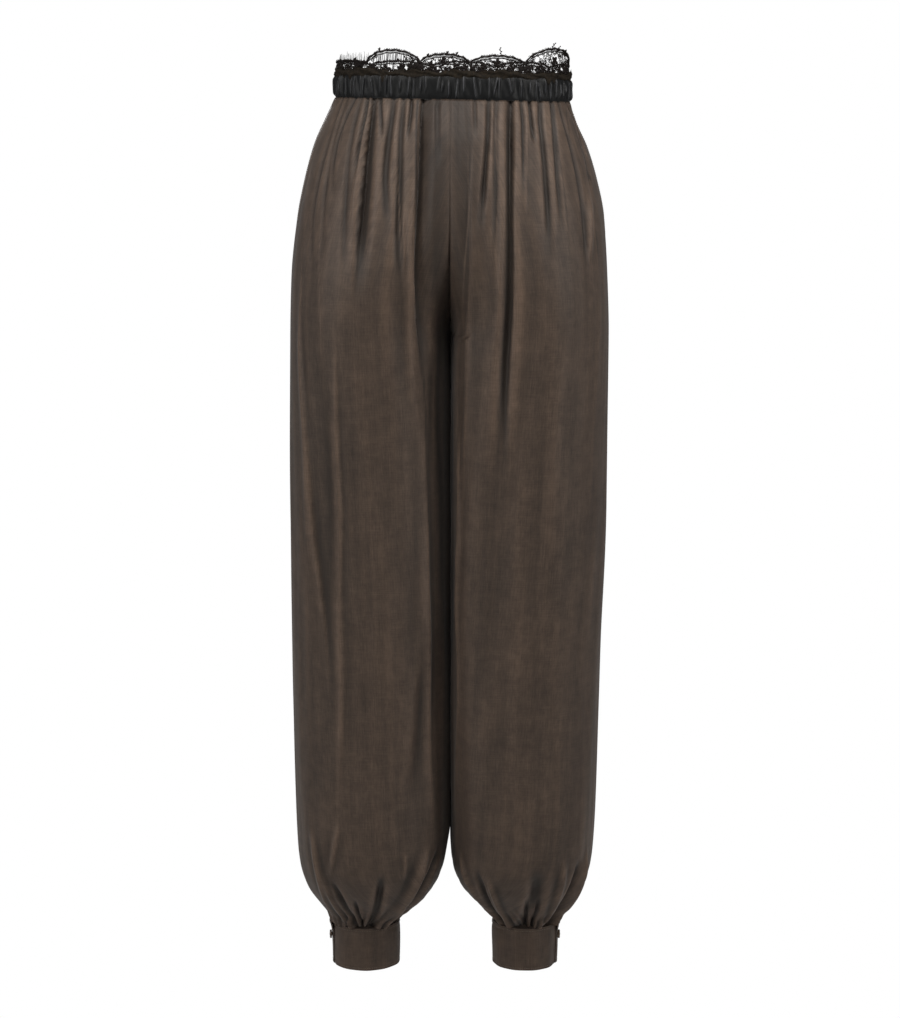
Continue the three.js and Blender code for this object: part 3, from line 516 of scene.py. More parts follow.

# %% [markdown]
# ## Painted light and shade, and creases that rub pale
# Washed silk is paler where its creases rub. The same stored value also holds painted light and
# shade: painted highlights along some creases and on the hips, and painted shade in the bottom of
# deep troughs and between the legs. Each row below is one such line: where it starts and ends, its
# distance from the centre at the top, half way and at the end, half its width, and its strength,
# which is negative for painted shade. To these comes a paler colour on every crest and a darker one
# in every hollow, partly rubbing and partly painted light and shade, found as the height above the
# blurred height.

# %% Painted light and shade, and creases that rub pale
# Positive rows are creases that rub pale and carry a painted highlight; the wide ones on the hips are
# painted highlights. Negative rows are painted shade in troughs; the wide ones near the middle are painted
# shade between the legs.
# top end x_top x_mid x_end wide strength
LIGHT_SHADE_AND_RUB_LINES = {"right_front": """
    -150 -705 162 155.5 125 1.5 0.9
    -231 -885 126 121 129 1.7 1
    -47 -215 95.5 99 101 1.5 0.8
    -50 -215 59 55 49.5 1.5 0.75
    -138 -310 139 141 140 1.5 0.7
    -14 -280 33.5 36.7 29 2.4 -1
    -280 -700 29 22.9 11 2.4 -0.9
    -14 -235 82 97 99 1.8 -0.9
    -13 -75 84 84 85 1.5 -0.9
    -13 -90 14 15 15 1.5 -0.8
    -13 -60 50 50 51 1.4 -0.7
    -13 -80 112 116 121 1.4 -0.6
    -235 -660 13 11 4 11 -1
    -270 -760 21 22 15 9 -0.8
    -14 -270 14 16 12 26 -0.75
    -60 -200 150 156 160 9 0.4
""", "left_front": """
    -55 -260 20 20.5 21.5 1.6 0.85
    -30 -110 50 50.5 51 1.4 0.6
    -150 -192 157 160 163 1.6 -0.9
    -250 -800 1.5 1.5 1 5.5 -1
    -14 -270 12 14 10 27 -0.65
    -22 -135 130 147 165 1.8 -1
    -22 -135 126.5 143.5 162 2 0.7
    -95 -180 150 154 158 8 0.95
    -280 -790 8.6 9 7 1.8 0.9
    -45 -120 81.7 81 79 1.6 0.9
    -45 -120 107.5 108 110 1.4 0.5
    -14 -400 66.6 63 57.5 2.2 -1
    -14 -190 100 104 108 1.7 -0.9
    -14 -200 113 122 130 1.5 -0.7
    -60 -220 146.5 151 155 1.4 0.6
    -30 -250 54 51 47.5 1.6 0.6
    -60 -300 23.7 17 10.8 1.5 0.5
    -13 -75 42 42 41 1.5 -0.9
    -13 -70 86 86 88 1.5 -0.9
    -13 -60 111 112 114 1.5 -0.8
    -13 -60 126 129 133 1.5 -0.8
"""}
BLUR_COLUMNS = 13
PAINTED_RELIEF_RANGE = 4.5


def painted_light_and_rub(name, z, s, lines, relief):
    """Painted light and shade on the silk: 1 is pale (creases that rub, painted highlights), 0 is painted
    shade; 0.5 is neutral.
    """
    padded = np.pad(relief, ((0, 0), (BLUR_COLUMNS // 2, BLUR_COLUMNS // 2)), mode="edge")
    blurred = np.apply_along_axis(np.convolve, 1, padded, np.ones(BLUR_COLUMNS) / BLUR_COLUMNS, "valid")
    # Painted light and shade from the relief: paler on every crest, darker in every hollow, partly standing
    # for rubbing.
    shade = 0.5 + np.clip((relief - blurred) / PAINTED_RELIEF_RANGE, -0.5, 0.42)
    for panel, top, end, x_top, x_mid, x_end, wide, strength in text_rows(LIGHT_SHADE_AND_RUB_LINES):
        if panel != name:
            continue
        for row in np.flatnonzero((z <= top) & (z >= end)):
            t = (top - z[row]) / (top - end)
            x = through(t, x_top, x_mid, x_end)
            at = np.interp(-x - 0.9 * math.sin(z[row] / 31 + x_top), -lines[row][1], lines[row][0])
            ends = (1 if top > -15 else smooth(t / 0.1)) * smooth((1 - t) / 0.4)
            line = crest(s[row] - at, wide, wide, 1.6) * ends * abs(strength)
            # A positive row paints a pale line, part rubbing and part painted highlight; a negative row
            # paints shade.
            shade[row] += line * ((1 if strength > 0 else 0) - shade[row])
    return shade


print("rubbed and shaded lines:", len(text_rows(LIGHT_SHADE_AND_RUB_LINES)))

# %% [markdown]
# ## Gathers
# Between the big folds, the silk is squeezed into many small tucks. Where the table places
# none, as at the back, the tucks stand at uneven steps. Right beside the seam, finer puckers
# show where the needle drew the cloth together. They could be rows of the table too, but a loop
# with a fixed unevenness places dozens of small ones with less work.

# %% Small gathers
BACK_TUCKS = 13
CUFF_TUCKS = 17


def tucks(along, z, width, count, seam_z, deep, reach, salt):
    """Narrow troughs between rounded crests, deepest near a seam."""
    away = np.abs(z - seam_z)
    height = np.zeros_like(along)
    for i in range(1, count):
        place = (i + 0.3 * odd(i, salt)) / count
        own_reach = reach * (1 + 0.45 * odd(i, salt + 2))
        fade = (0.6 + 0.4 * smooth(away / 20)) * (1 - smooth(away / own_reach))
        own = deep * (1 + 0.4 * odd(i, salt + 1))
        off = along - place * width[:, None]
        half = (0.38 * width / count)[:, None]
        height -= own * fade[:, None] * crest(off, half, half, 2)
    return height


def puckers(along, z, seam_z, deep, pitch, reach, salt):
    """Very short ripples beside a row of sewing."""
    away = np.abs(z - seam_z)
    place = along / pitch
    wave = np.sin(2 * math.pi * (place + 0.35 * np.sin(place * 0.9 + salt)) + salt)
    return deep * wave * ((1 - smooth(away / reach)) * smooth(away / 1.5 + 0.3))[:, None]


def drift(along, z, salt):
    """Wide, low ripples that run down the whole cloth."""
    total = np.zeros_like(along)
    for k in range(7):
        pitch = 17 + 9 * k
        turn = along / pitch + 0.6 * np.sin(z[:, None] / (130 + 20 * k) + salt + k)
        slow = 0.6 + 0.4 * np.sin(z[:, None] / (90 + 31 * k) + 2 * salt + k)
        total += 0.13 * (1 + 0.25 * k) * slow * np.sin(2 * math.pi * (turn + odd(k, salt)))
    return total


print("tucks on a panel:", BACK_TUCKS - 1, "at the top of the back,", CUFF_TUCKS - 1, "at the cuff")

# %% [markdown]
# ## From a grid of points to a wall of cloth
# A sheet of cloth is two grids, an outer and an inner face a wall apart, joined round the rim.
# Every point also stores its place on the flat cloth in millimetres, so that the weave follows
# the folds instead of the room. A Solidify modifier could thicken a single sheet too; two grids
# let the inner face stay level at the hems and smooth where the outer one is creased.

# %% Grids to meshes
def grid_faces(rows, columns, first, ring):
    """Quads of one grid; a ring joins its last column to its first."""
    r, c = np.meshgrid(np.arange(rows - 1), np.arange(columns if ring else columns - 1), indexing="ij")
    corners = [(r + down) * columns + (c + on) % columns for down, on in ((0, 0), (0, 1), (1, 1), (1, 0))]
    return first + np.stack(corners, -1).reshape(-1, 4)


def rim_faces(rows, columns, ring):
    """Quads that join the outer grid to the inner one along its free edges."""
    index = np.arange(rows * columns).reshape(rows, columns)
    count = rows * columns
    edges = [index[0][::-1], index[-1]]
    if not ring:
        edges += [index[:, 0], index[:, -1][::-1]]
    else:
        edges = [np.append(edge, edge[0]) for edge in edges]
    quads = [np.stack([e[:-1], e[:-1] + count, e[1:] + count, e[1:]], -1) for e in edges]
    return np.concatenate(quads)


def plain_mesh(name, points_mm, faces, material, flat_from=None, **attributes):
    """A Blender mesh in metres from points and faces; faces from flat_from on are shaded flat."""
    mesh = bpy.data.meshes.new(name)
    mesh.from_pydata((points_mm * MM).tolist(), [], faces)
    soft = np.arange(len(faces)) < (len(faces) if flat_from is None else flat_from)
    mesh.polygons.foreach_set("use_smooth", soft)
    mesh.materials.append(material)
    for key, values in attributes.items():
        kind = "FLOAT_VECTOR" if values.ndim == 2 else "FLOAT"
        field = "vector" if values.ndim == 2 else "value"
        mesh.attributes.new(key, kind, "POINT").data.foreach_set(field, values.astype(np.float32).ravel())
    return mesh


def shell_volume(points, quads):
    """Signed volume inside quads, positive when they face out."""
    a, b, c, d = (points[quads[:, k]] for k in range(4))
    return (np.einsum("ij,ij->i", a, np.cross(b, c)) + np.einsum("ij,ij->i", a, np.cross(c, d))).sum() / 6


def flat_place(along, z, salt):
    """Where each point lies on its flat cloth; salt keeps the pieces' weaves apart."""
    return np.stack(np.broadcast_arrays(along, z, float(salt)), -1)


def cloth_shell(name, outer, inner, cloth, material, ring=False, **extra):
    """An object from an outer and an inner grid, with its place on the flat cloth stored."""
    rows, columns = outer.shape[:2]
    points = hang(np.concatenate([outer.reshape(-1, 3), inner.reshape(-1, 3)]))
    faces = np.concatenate([
        grid_faces(rows, columns, 0, ring),
        grid_faces(rows, columns, rows * columns, ring)[:, ::-1],
        rim_faces(rows, columns, ring),
    ])
    if shell_volume(points, faces) < 0:
        faces = faces[:, ::-1]
    extra.setdefault("crest", np.full((rows, columns), 0.5))
    both = {key: np.tile(value.reshape(rows * columns, -1).squeeze(), 2) for key, value in extra.items()}
    flat = np.tile(cloth.reshape(-1, 3), (2, 1))
    flat_from = 2 * len(grid_faces(rows, columns, 0, ring))
    mesh = plain_mesh(name, points, faces.tolist(), material, flat_from, cloth=flat, **both)
    return new_object(name, mesh)


def face_normals(grid, outward, ring=False):
    """Unit normals of a grid of points, turned to the side that outward points to."""
    if ring:
        along = np.roll(grid, -1, axis=1) - np.roll(grid, 1, axis=1)
    else:
        along = np.gradient(grid, axis=1)
    normal = np.cross(along, np.gradient(grid, axis=0))
    normal /= np.maximum(np.linalg.norm(normal, axis=-1, keepdims=True), 1e-9)
    return normal * np.sign((normal * outward).sum(-1, keepdims=True))


print("quads of 3 by 4 points, open and as a ring:", [len(grid_faces(3, 4, 0, r)) for r in (False, True)])

# %% [markdown]
# ## Shader groups
# Two effects are shared by several finishes, so each is a node group with its own inputs. The
# first draws threads: long thin streaks down the cloth, short slubs across it and soft washed
# patches. The second turns a stored crest value and some noise into rubbing and painted light: on
# the silk, creases that rub pale with painted highlights and painted shade, on the band, paler
# crests that are partly a painted highlight.
# Groups put out only values; the shader itself stays in each material.

# %% Threads
def new_group(name, inputs, outputs):
    """An empty shader group with float or vector sockets, its input and its output node."""
    group = bpy.data.node_groups.new(name, "ShaderNodeTree")
    for label, kind, value in inputs:
        socket = group.interface.new_socket(name=label, in_out="INPUT", socket_type=kind)
        if value is not None:
            socket.default_value = value
    for label in outputs:
        group.interface.new_socket(name=label, in_out="OUTPUT", socket_type="NodeSocketFloat")
    return group, group.nodes.new("NodeGroupInput"), group.nodes.new("NodeGroupOutput")


def streaks(tree, vector, scale, detail):
    """Noise stretched by a scale on the flat cloth; scale is in cycles per millimetre."""
    stretch = add_node(tree, "ShaderNodeMapping", Vector=vector, Scale=scale)
    return add_node(tree, "ShaderNodeTexNoise", Vector=stretch.outputs[0], Scale=1.0, Detail=detail,
                    Roughness=0.6).outputs[0]


def maths(tree, operation, a, b):
    """One Math node's output."""
    return add_node(tree, "ShaderNodeMath", {"operation": operation}, i0=a, i1=b).outputs[0]


def weighted(tree, *parts):
    """The sum of several values, each times its share."""
    products = [maths(tree, "MULTIPLY", value, share) for value, share in parts]
    whole = products[0]
    for product in products[1:]:
        whole = maths(tree, "ADD", whole, product)
    return whole


def centred(tree, value):
    """A value between 0 and 1, moved to lie round 0."""
    return maths(tree, "SUBTRACT", value, 0.5)


threads, given, out = new_group(
    "threads",
    [("Cloth", "NodeSocketVector", None), ("Slub", "NodeSocketFloat", 0.5),
     ("Wash", "NodeSocketFloat", 0.5)],
    ["Tone", "Hue", "Height"],
)
cloth_place = given.outputs["Cloth"]
fine = streaks(threads, cloth_place, (0.75, 0.045, 1), 3)
broad = streaks(threads, cloth_place, (0.11, 0.0022, 1), 3)
slub = streaks(threads, cloth_place, (0.05, 0.9, 1), 2)
patch = streaks(threads, cloth_place, (0.018, 0.009, 1), 4)
grain = streaks(threads, cloth_place, (0.85, 0.14, 1), 2)
tone = weighted(
    threads, (fine, 0.45), (broad, 0.3), (grain, 0.25),
    (centred(threads, slub), given.outputs["Slub"]),
    (centred(threads, patch), given.outputs["Wash"]),
)
threads.links.new(tone, out.inputs["Tone"])
threads.links.new(weighted(threads, (broad, 0.6), (patch, 0.4)), out.inputs["Hue"])
threads.links.new(weighted(threads, (fine, 0.6), (grain, 0.4)), out.inputs["Height"])
print("nodes that draw threads:", len(threads.nodes))

# %% Crest light and rubbing
crest_light_group, given, out = new_group(
    "crest_light_and_rubbing",
    [("Crest", "NodeSocketFloat", 0.0), ("Place", "NodeSocketVector", None),
     ("Scale", "NodeSocketFloat", 60.0)],
    ["Wear", "Height"],
)
speck = add_node(crest_light_group, "ShaderNodeTexNoise", Vector=given.outputs["Place"], Scale=given.outputs["Scale"],
                 Detail=4.0, Roughness=0.65)
# On the silk and the band, Crest carries painted light and shade as well as rubbing; the threads only use
# its noise.
crest_light_value = maths(crest_light_group, "MULTIPLY", given.outputs["Crest"], maths(crest_light_group, "ADD", speck.outputs[0], 0.35))
crest_light_group.links.new(crest_light_value, out.inputs["Wear"])
crest_light_group.links.new(speck.outputs[0], out.inputs["Height"])
print("shader groups:", [g.name for g in bpy.data.node_groups])

# %% [markdown]
# ## Finishes
# Sand-washed silk is matt with a faint bloom: a rough surface, a little sheen, and a colour that
# wanders between a warm and a cool brown along the threads. The band is coated cloth with a
# leather look, so it is almost black, smoother, and paler on its wrinkle crests, partly from
# rubbing and partly as a painted highlight. Noise along the stored flat place does all this at any
# distance, where a picture would blur. The silk colour also takes painted light and shade from a
# stored crest value: paler on crests and painted highlights, darker in painted shade.

# %% Silk and its relations
def linear(hex_colour):
    """A hex colour as linear red, green, blue and alpha."""
    parts = [int(hex_colour[i:i + 2], 16) / 255 for i in (0, 2, 4)]
    return tuple(p / 12.92 if p <= 0.04045 else ((p + 0.055) / 1.055) ** 2.4 for p in parts) + (1,)


def group_node(tree, group, **inputs):
    """A placed shader group."""
    return add_node(tree, "ShaderNodeGroup", {"node_tree": group}, **inputs)


def stored(tree, name, kind):
    """A value stored on the mesh: its Vector or its Fac."""
    return add_node(tree, "ShaderNodeAttribute", {"attribute_name": name}).outputs[kind]


def ramp(tree, value, low, high, start=0.25, stop=0.75):
    """A colour that goes from low to high as value goes from start to stop."""
    node = add_node(tree, "ShaderNodeValToRGB", Fac=value)
    node.color_ramp.elements[0].position, node.color_ramp.elements[1].position = start, stop
    node.color_ramp.elements[0].color, node.color_ramp.elements[1].color = linear(low), linear(high)
    return node.outputs[0]


def mix_colour(tree, kind, share, a, b):
    """One Mix node for colours."""
    props = {"data_type": "RGBA", "blend_type": kind}
    return add_node(tree, "ShaderNodeMix", props, i0=share, i6=a, i7=b).outputs[2]


def finish_shader(tree, colour, rough, bump_height, bump_mm, **constants):
    """The Principled shader with its bump, and the output."""
    bump = add_node(tree, "ShaderNodeBump", Height=bump_height, Distance=bump_mm * MM, Strength=1.0)
    shader = add_node(tree, "ShaderNodeBsdfPrincipled", Base_Color=colour, Roughness=rough,
                      Normal=bump.outputs[0], **constants)
    add_node(tree, "ShaderNodeOutputMaterial", Surface=shader.outputs[0])


def washed_silk(name, warm, cool):
    """Sand-washed silk between a warm and a cool brown."""
    material, tree = new_material(name)
    weave = group_node(tree, threads, Cloth=stored(tree, "cloth", "Vector"), Slub=0.32, Wash=0.42)
    hue = mix_colour(tree, "MIX", weave.outputs["Hue"], linear(cool), linear(warm))
    shade = ramp(tree, weave.outputs["Tone"], "a8a8a8", "ffffff", 0.26, 0.74)
    colour = mix_colour(tree, "MULTIPLY", 1.0, hue, shade)
    crest_node = group_node(tree, crest_light_group, Crest=stored(tree, "crest", "Fac"),
                      Place=stored(tree, "cloth", "Vector"), Scale=0.07)
    # Painted light and shade: the stored crest value makes the silk paler on crests, on creases that rub and
    # on painted highlights, and darker in painted shade.
    painted_shade_and_rub = ramp(tree, crest_node.outputs["Wear"], "858585", "ffffff", 0.08, 0.8)
    colour = mix_colour(tree, "MULTIPLY", 1.0, colour, painted_shade_and_rub)
    rough = add_node(tree, "ShaderNodeMapRange", Value=weave.outputs["Tone"], To_Min=0.66, To_Max=0.52)
    finish_shader(tree, colour, rough.outputs[0], weave.outputs["Height"], 0.16,
                  Sheen_Weight=0.06, Sheen_Roughness=0.45, Specular_IOR_Level=0.3)
    return material


silk = washed_silk("washed_silk", "675445", "584a41")
cuff_silk = washed_silk("cuff_silk", "675445", "5b4c42")
print("silks:", silk.name, "and", cuff_silk.name)

# %% Coated band, chiffon, lace and button
def coated_band():
    """Coated cloth with a leather look, paler on its wrinkle crests, partly from rubbing and partly as a
    painted highlight.
    """
    material, tree = new_material("coated_band")
    place = add_node(tree, "ShaderNodeTexCoord").outputs["Object"]
    crest_node = group_node(tree, crest_light_group, Crest=stored(tree, "crest", "Fac"), Place=place, Scale=900.0)
    # Painted highlight: the wrinkle crests get the paler colour, partly standing for rubbing.
    colour = mix_colour(tree, "MIX", crest_node.outputs["Wear"], linear("050607"), linear("4b4c50"))
    rough = add_node(tree, "ShaderNodeMapRange", Value=crest_node.outputs["Height"], To_Min=0.4, To_Max=0.58)
    finish_shader(tree, colour, rough.outputs[0], crest_node.outputs["Height"], 0.15, Specular_IOR_Level=0.24)
    return material


def spun_thread(name, low, high, scale, rough=0.7, sheen=0.3, shine=0.15):
    """Matt thread whose colour wanders along it."""
    material, tree = new_material(name)
    place = add_node(tree, "ShaderNodeTexCoord").outputs["Object"]
    crest_node = group_node(tree, crest_light_group, Crest=1.0, Place=place, Scale=scale)
    colour = ramp(tree, crest_node.outputs["Height"], low, high, 0.3, 0.7)
    finish_shader(tree, colour, rough, crest_node.outputs["Height"], 0.1,
                  Sheen_Weight=sheen, Specular_IOR_Level=shine)
    return material


band_coat = coated_band()
chiffon = spun_thread("frayed_chiffon", "0b0906", "211a11", 420.0, 0.8, 0.0)
lace_thread = spun_thread("lace_thread", "080606", "1c1513", 700.0, 0.6, 0.0)
sewing_thread = spun_thread("sewing_thread", "4a3f36", "63564a", 900.0)
horn = spun_thread("brown_horn", "33291f", "5c4b3d", 260.0, 0.32, 0.0, 0.5)
print("finishes:", [m.name for m in bpy.data.materials if m.users])

# %% [markdown]
# ## The four panels
# Each panel is a calm grid, pushed out or in by its folds along a level line, so that the hems
# stay level. The seams stay calm, and dip a little where the two cloths turn in to be sewn.
# Between the legs the cloths nestle against each other along a gently waved line.

# %% Panel rows and columns
SILK_WALL = 0.9
PANEL_COLUMNS = 161
SEAM_CALM, SEAM_DIP, SEAM_DIP_WIDTH = 9, 0.7, 1.3
OUTER_SHARE, OUTER_COLUMNS = 0.27, 0.7
LEG_MIDDLE_X = 90.0
FLAT_BESIDE_MOUTH = 3
PANEL_Z = np.concatenate([
    np.arange(-12.8, -60, -2.4), np.arange(-60, -150, -3.6), np.arange(-150, -420, -5),
    np.arange(-420, -800, -8), np.arange(-800, -955.7, -2.3), [-955.7],
])
print("grid of a panel:", len(PANEL_Z), "rows of", PANEL_COLUMNS)

# %% Build a panel
def panel_grid(side, face, u, z):
    """Calm points of a panel and what its folds need: distances, lines and widths."""
    lines = [section_line(side, face, height) for height in z]
    length = np.array([line[0][-1] for line in lines])
    start = SEAM_HALF_GAP + (mouth_width(z) if face == "front" else np.zeros(len(z)))
    width = length - SEAM_HALF_GAP - start
    # Most of the columns cover the outer part, so the crotch doesn't drag them sideways.
    split_x = np.array([line[1][-1] + OUTER_SHARE * (line[1][0] - line[1][-1]) for line in lines])
    split_s = np.array([np.interp(-at, -line[1], line[0]) for at, line in zip(split_x, lines)])
    s = np.stack([np.interp(u, [0, OUTER_COLUMNS, 1], ends) for ends in zip(start, split_s, start + width)])
    x = np.stack([np.interp(row, line[0], line[1]) for row, line in zip(s, lines)])
    y = np.stack([np.interp(row, line[0], line[2]) for row, line in zip(s, lines)])
    points = np.stack([SIGN[side] * x, y, np.repeat(z[:, None], len(u), 1)], -1)
    return points, s, lines, start, width, length


def nestle(points):
    """Sideways shift of the cloth at the middle, so that no straight line runs between the legs."""
    x, y, z = points[..., 0], points[..., 1], points[..., 2]
    between = smooth((z + 862) / 40)
    wave = np.where(y < 0, 1.6 * np.sin(y / 13) ** 2, -2.2 * smooth(y / 30))
    return wave * between * np.exp(-(x / 14) ** 2) * smooth((y + 70) / 30)


def build_panel(side, face, salt):
    """One silk panel with its folds, as a walled sheet."""
    name = side + "_" + face
    u, z = np.linspace(0, 1, PANEL_COLUMNS), PANEL_Z
    calm, s, lines, start, width, length = panel_grid(side, face, u, z)
    in_leg = smooth((-200 - z) / 100)[:, None, None]
    outward = calm - np.array([SIGN[side] * LEG_MIDDLE_X, 0, 0]) * in_leg
    outward[..., 2] = 0
    normal = face_normals(calm, outward)
    level = normal * np.array([1, 1, 0])
    level /= np.linalg.norm(level, axis=-1, keepdims=True)
    along = np.gradient(calm, axis=1)
    along /= np.linalg.norm(along, axis=-1, keepdims=True)

    height, sideways = placed_folds(name, z, s, lines)
    if face == "back":
        height += tucks(s, z, width, BACK_TUCKS, BAND_BOTTOM, deep=4.4, reach=120, salt=salt)
    height += tucks(s, z, width, CUFF_TUCKS, LEG_END, deep=4.4, reach=40, salt=salt + 5)
    height += puckers(s, z, BAND_BOTTOM, deep=0.6, pitch=4.2, reach=15, salt=salt)
    height += puckers(s, z, LEG_END, deep=0.7, pitch=3.6, reach=14, salt=salt + 3)
    height += drift(s, z, salt)
    flat_edge = np.where(start > 1, start + FLAT_BESIDE_MOUTH, 0)[:, None]
    calm_ends = smooth(np.minimum(s - flat_edge, length[:, None] - s) / SEAM_CALM)
    to_seam = np.minimum(np.where(start[:, None] > 1, 99, s), length[:, None] - s)
    relief = height * calm_ends - SEAM_DIP * np.exp(-(to_seam / SEAM_DIP_WIDTH) ** 2)
    # This value carries painted light and shade into the silk colour, with creases that rub pale.
    shade = painted_light_and_rub(name, z, s, lines, relief)
    outer = calm + level * relief[..., None] + along * (sideways * calm_ends)[..., None]
    inner = outer - SILK_WALL * face_normals(outer, outward)
    inner[..., 2] = outer[..., 2]
    for grid in (outer, inner):
        grid[..., 0] = SIGN[side] * np.maximum(SEAM_HALF_GAP, SIGN[side] * grid[..., 0])
        grid[..., 0] += nestle(grid)
    cloth = flat_place(s, outer[..., 2], 40.0 * salt)
    return cloth_shell("silk_" + name, outer, inner, cloth, silk, crest=shade)


PANEL_SALTS = {("right", "front"): 1, ("right", "back"): 11, ("left", "front"): 21, ("left", "back"): 31}
panels = {f"{side}_{face}": build_panel(side, face, salt) for (side, face), salt in PANEL_SALTS.items()}
for name, panel in panels.items():
    dress(panel, name)

# %% [markdown]
# ## Seam tapes
# The two middle seams are backed from inside by a narrow tape of the same silk, which closes
# the seam like the turned-in edges of a sewn garment. The panels could be merged there, but then
# they would no longer be four cuts that can be told apart.

# %% Tapes behind the middle seams
TAPE_SINK, TAPE_WALL, TAPE_HALF_WIDTH = 2.6, 0.6, 4


def sunk_strip(name, calm, outward, sink, wall, cloth, material, shift=None):
    """A strip of cloth some way below the calm form; its rows stay level."""
    normal = face_normals(calm, calm * np.array(outward))
    outer, inner = (calm - normal * deep for deep in (sink, sink * 0 + wall))
    for grid in (outer, inner):
        grid[..., 2] = calm[..., 2]
        if shift:
            grid[..., 0] += shift(grid)
    return cloth_shell(name, outer, inner, cloth, material)


def build_tape(face):
    """A narrow strip behind the seam at the middle of the front or of the back."""
    across = np.linspace(-TAPE_HALF_WIDTH, TAPE_HALF_WIDTH, 9)
    heights = PANEL_Z[PANEL_Z > CROTCH_Z + 12]
    calm = np.array([
        [panel_point("left" if d > 0 else "right", face, z, abs(d), from_middle=True) for d in across]
        for z in heights
    ])
    return sunk_strip("seam_tape_" + face, calm, (0, 1, 0), TAPE_SINK, TAPE_SINK + TAPE_WALL,
                      flat_place(across, calm[..., 2], 120), silk, nestle)


tapes = [build_tape(face) for face in ("front", "back")]
for tape in tapes:
    dress(tape)

# %% [markdown]
# ## The waist ring
# Band, frill and lace all follow one closed line, which starts at the centre front and runs
# round the wearer's left side. `waist_place` puts a point at a distance along it, moved out by
# a rise and set at a height, so each trim can be designed flat and then wrapped.

# %% Waist line
def waist_ring():
    """Distance, x and y of the closed waist line."""
    path = []
    for side, face, backwards in (("left", "front", True), ("left", "back", False),
                                  ("right", "back", True), ("right", "front", False)):
        _, x, y = section_line(side, face, BAND_BOTTOM)
        quarter = np.stack([SIGN[side] * x, y], -1)
        path.append(quarter[::-1] if backwards else quarter)
    loop = np.concatenate(path)
    loop = np.concatenate([loop, loop[:1]])
    s = np.concatenate([[0], np.cumsum(np.hypot(*np.diff(loop, axis=0).T))])
    return s, loop[:, 0], loop[:, 1]


waist_s, waist_x, waist_y = waist_ring()
WAIST_LENGTH = waist_s[-1]


def waist_place(distance, rise, z):
    """Points of the waist ring; all three inputs may be arrays of one shape."""
    distance, rise, z = np.broadcast_arrays(np.asarray(distance, float), rise, z)
    (x, y), ahead, behind = (
        (np.interp(d % WAIST_LENGTH, waist_s, waist_x), np.interp(d % WAIST_LENGTH, waist_s, waist_y))
        for d in (distance, distance + 3, distance - 3)
    )
    dx, dy = ahead[0] - behind[0], ahead[1] - behind[1]
    length = np.hypot(dx, dy)
    return np.stack([x + rise * dy / length, y - rise * dx / length, z], -1)


def round_waist(off):
    """A difference of two distances round the waist, the short way."""
    return (off + WAIST_LENGTH / 2) % WAIST_LENGTH - WAIST_LENGTH / 2


print("waist:", round(float(WAIST_LENGTH)), "mm round")

# %% [markdown]
# ## The ruched band
# A strip much longer than the waist is drawn up on elastic, so it stands in crisp uneven
# wrinkles. Each wrinkle is a thin ridge with its own place, slant, height and length; between
# them the strip swells a little, and both edges roll under. A bump in the shader could draw the
# wrinkles, but real ridges also catch the light along the top and bottom edge of the band.

# %% Waistband
BAND_COLUMNS = 1000
BAND_ROWS = [0, 0.03, 0.1, 0.2, 0.3, 0.4, 0.5, 0.6, 0.7, 0.8, 0.88, 0.94, 0.98, 1]
BAND_WRINKLES = 92
BAND_WALL, BAND_OVERLAP = 2.6, 0.8


def band_wrinkles(s, z):
    """Rise of the wrinkles and how strongly each point is on a crest."""
    rise, on_crest = np.zeros(np.broadcast_shapes(s.shape, z.shape)), 0
    for i in range(BAND_WRINKLES):
        place = (i + 0.42 * odd(i, 3)) * WAIST_LENGTH / BAND_WRINKLES
        slant = 2.6 * odd(i, 4) ** 3 + 0.5
        bow = 0.7 * odd(i, 5)
        centre = place + slant * z / BAND_TOP + bow * (z / BAND_TOP) ** 2
        off = round_waist(s - centre)
        high, low = 13 - 7 * max(0, odd(i, 6)), -13 + 8 * max(0, odd(i, 7))
        ends = smooth((high - z) / 4) * smooth((z - low) / 4)
        shape = crest(off, 1.1, 2.2 + 0.9 * odd(i, 8), 1.5) * ends
        rise = rise + (2.1 + 0.9 * odd(i, 9)) * shape
        # on_crest later makes the band paler on its crests: partly rubbing, partly a painted highlight.
        on_crest = np.maximum(on_crest, crest(off, 0.55, 0.6, 2) * ends * (0.65 + 0.35 * odd(i, 10)))
    return rise, on_crest


def build_band():
    """The waistband as a closed ring of cloth."""
    s = np.arange(BAND_COLUMNS) * WAIST_LENGTH / BAND_COLUMNS
    v = np.array(BAND_ROWS)[:, None]
    wobble = 0.5 * np.sin(s / 7.1) + 0.4 * np.sin(s / 3.3 + 1) + 0.3 * np.sin(s / 1.9 + 2)
    bottom = BAND_BOTTOM - BAND_OVERLAP + 0.6 * wobble
    z = BAND_TOP * (1 - v) + bottom[None, :] * v
    rise, on_crest = band_wrinkles(s[None, :], z)
    roll = 1 - np.abs(2 * v - 1) ** 6
    swell = (0.55 * np.sin(s / 2.9 + 2 * np.sin(s / 13)) + 0.3 * np.sin(s / 1.7 + z / 5)) * roll
    outer = waist_place(s[None, :], -0.7 + (1.1 + rise + swell) * roll, z)
    inner = waist_place(s[None, :], np.full_like(z, -BAND_WALL), z)
    return cloth_shell("ruched_waistband", outer, inner, flat_place(s, z, 0), band_coat,
                       ring=True, crest=on_crest)


band = build_band()
dress(band, "waistband")

# %% [markdown]
# ## Threads from Geometry Nodes
# Frayed ends, lace and hand sewing are all thread: a path with a thickness. One small tree
# turns the edges of a mesh into round thread. Each path is drawn as points joined by edges with
# a radius stored on every point; the tree makes the tube, sets its finish and realizes it. A
# bevelled curve for each thread would look the same, but thousands of objects are slow.

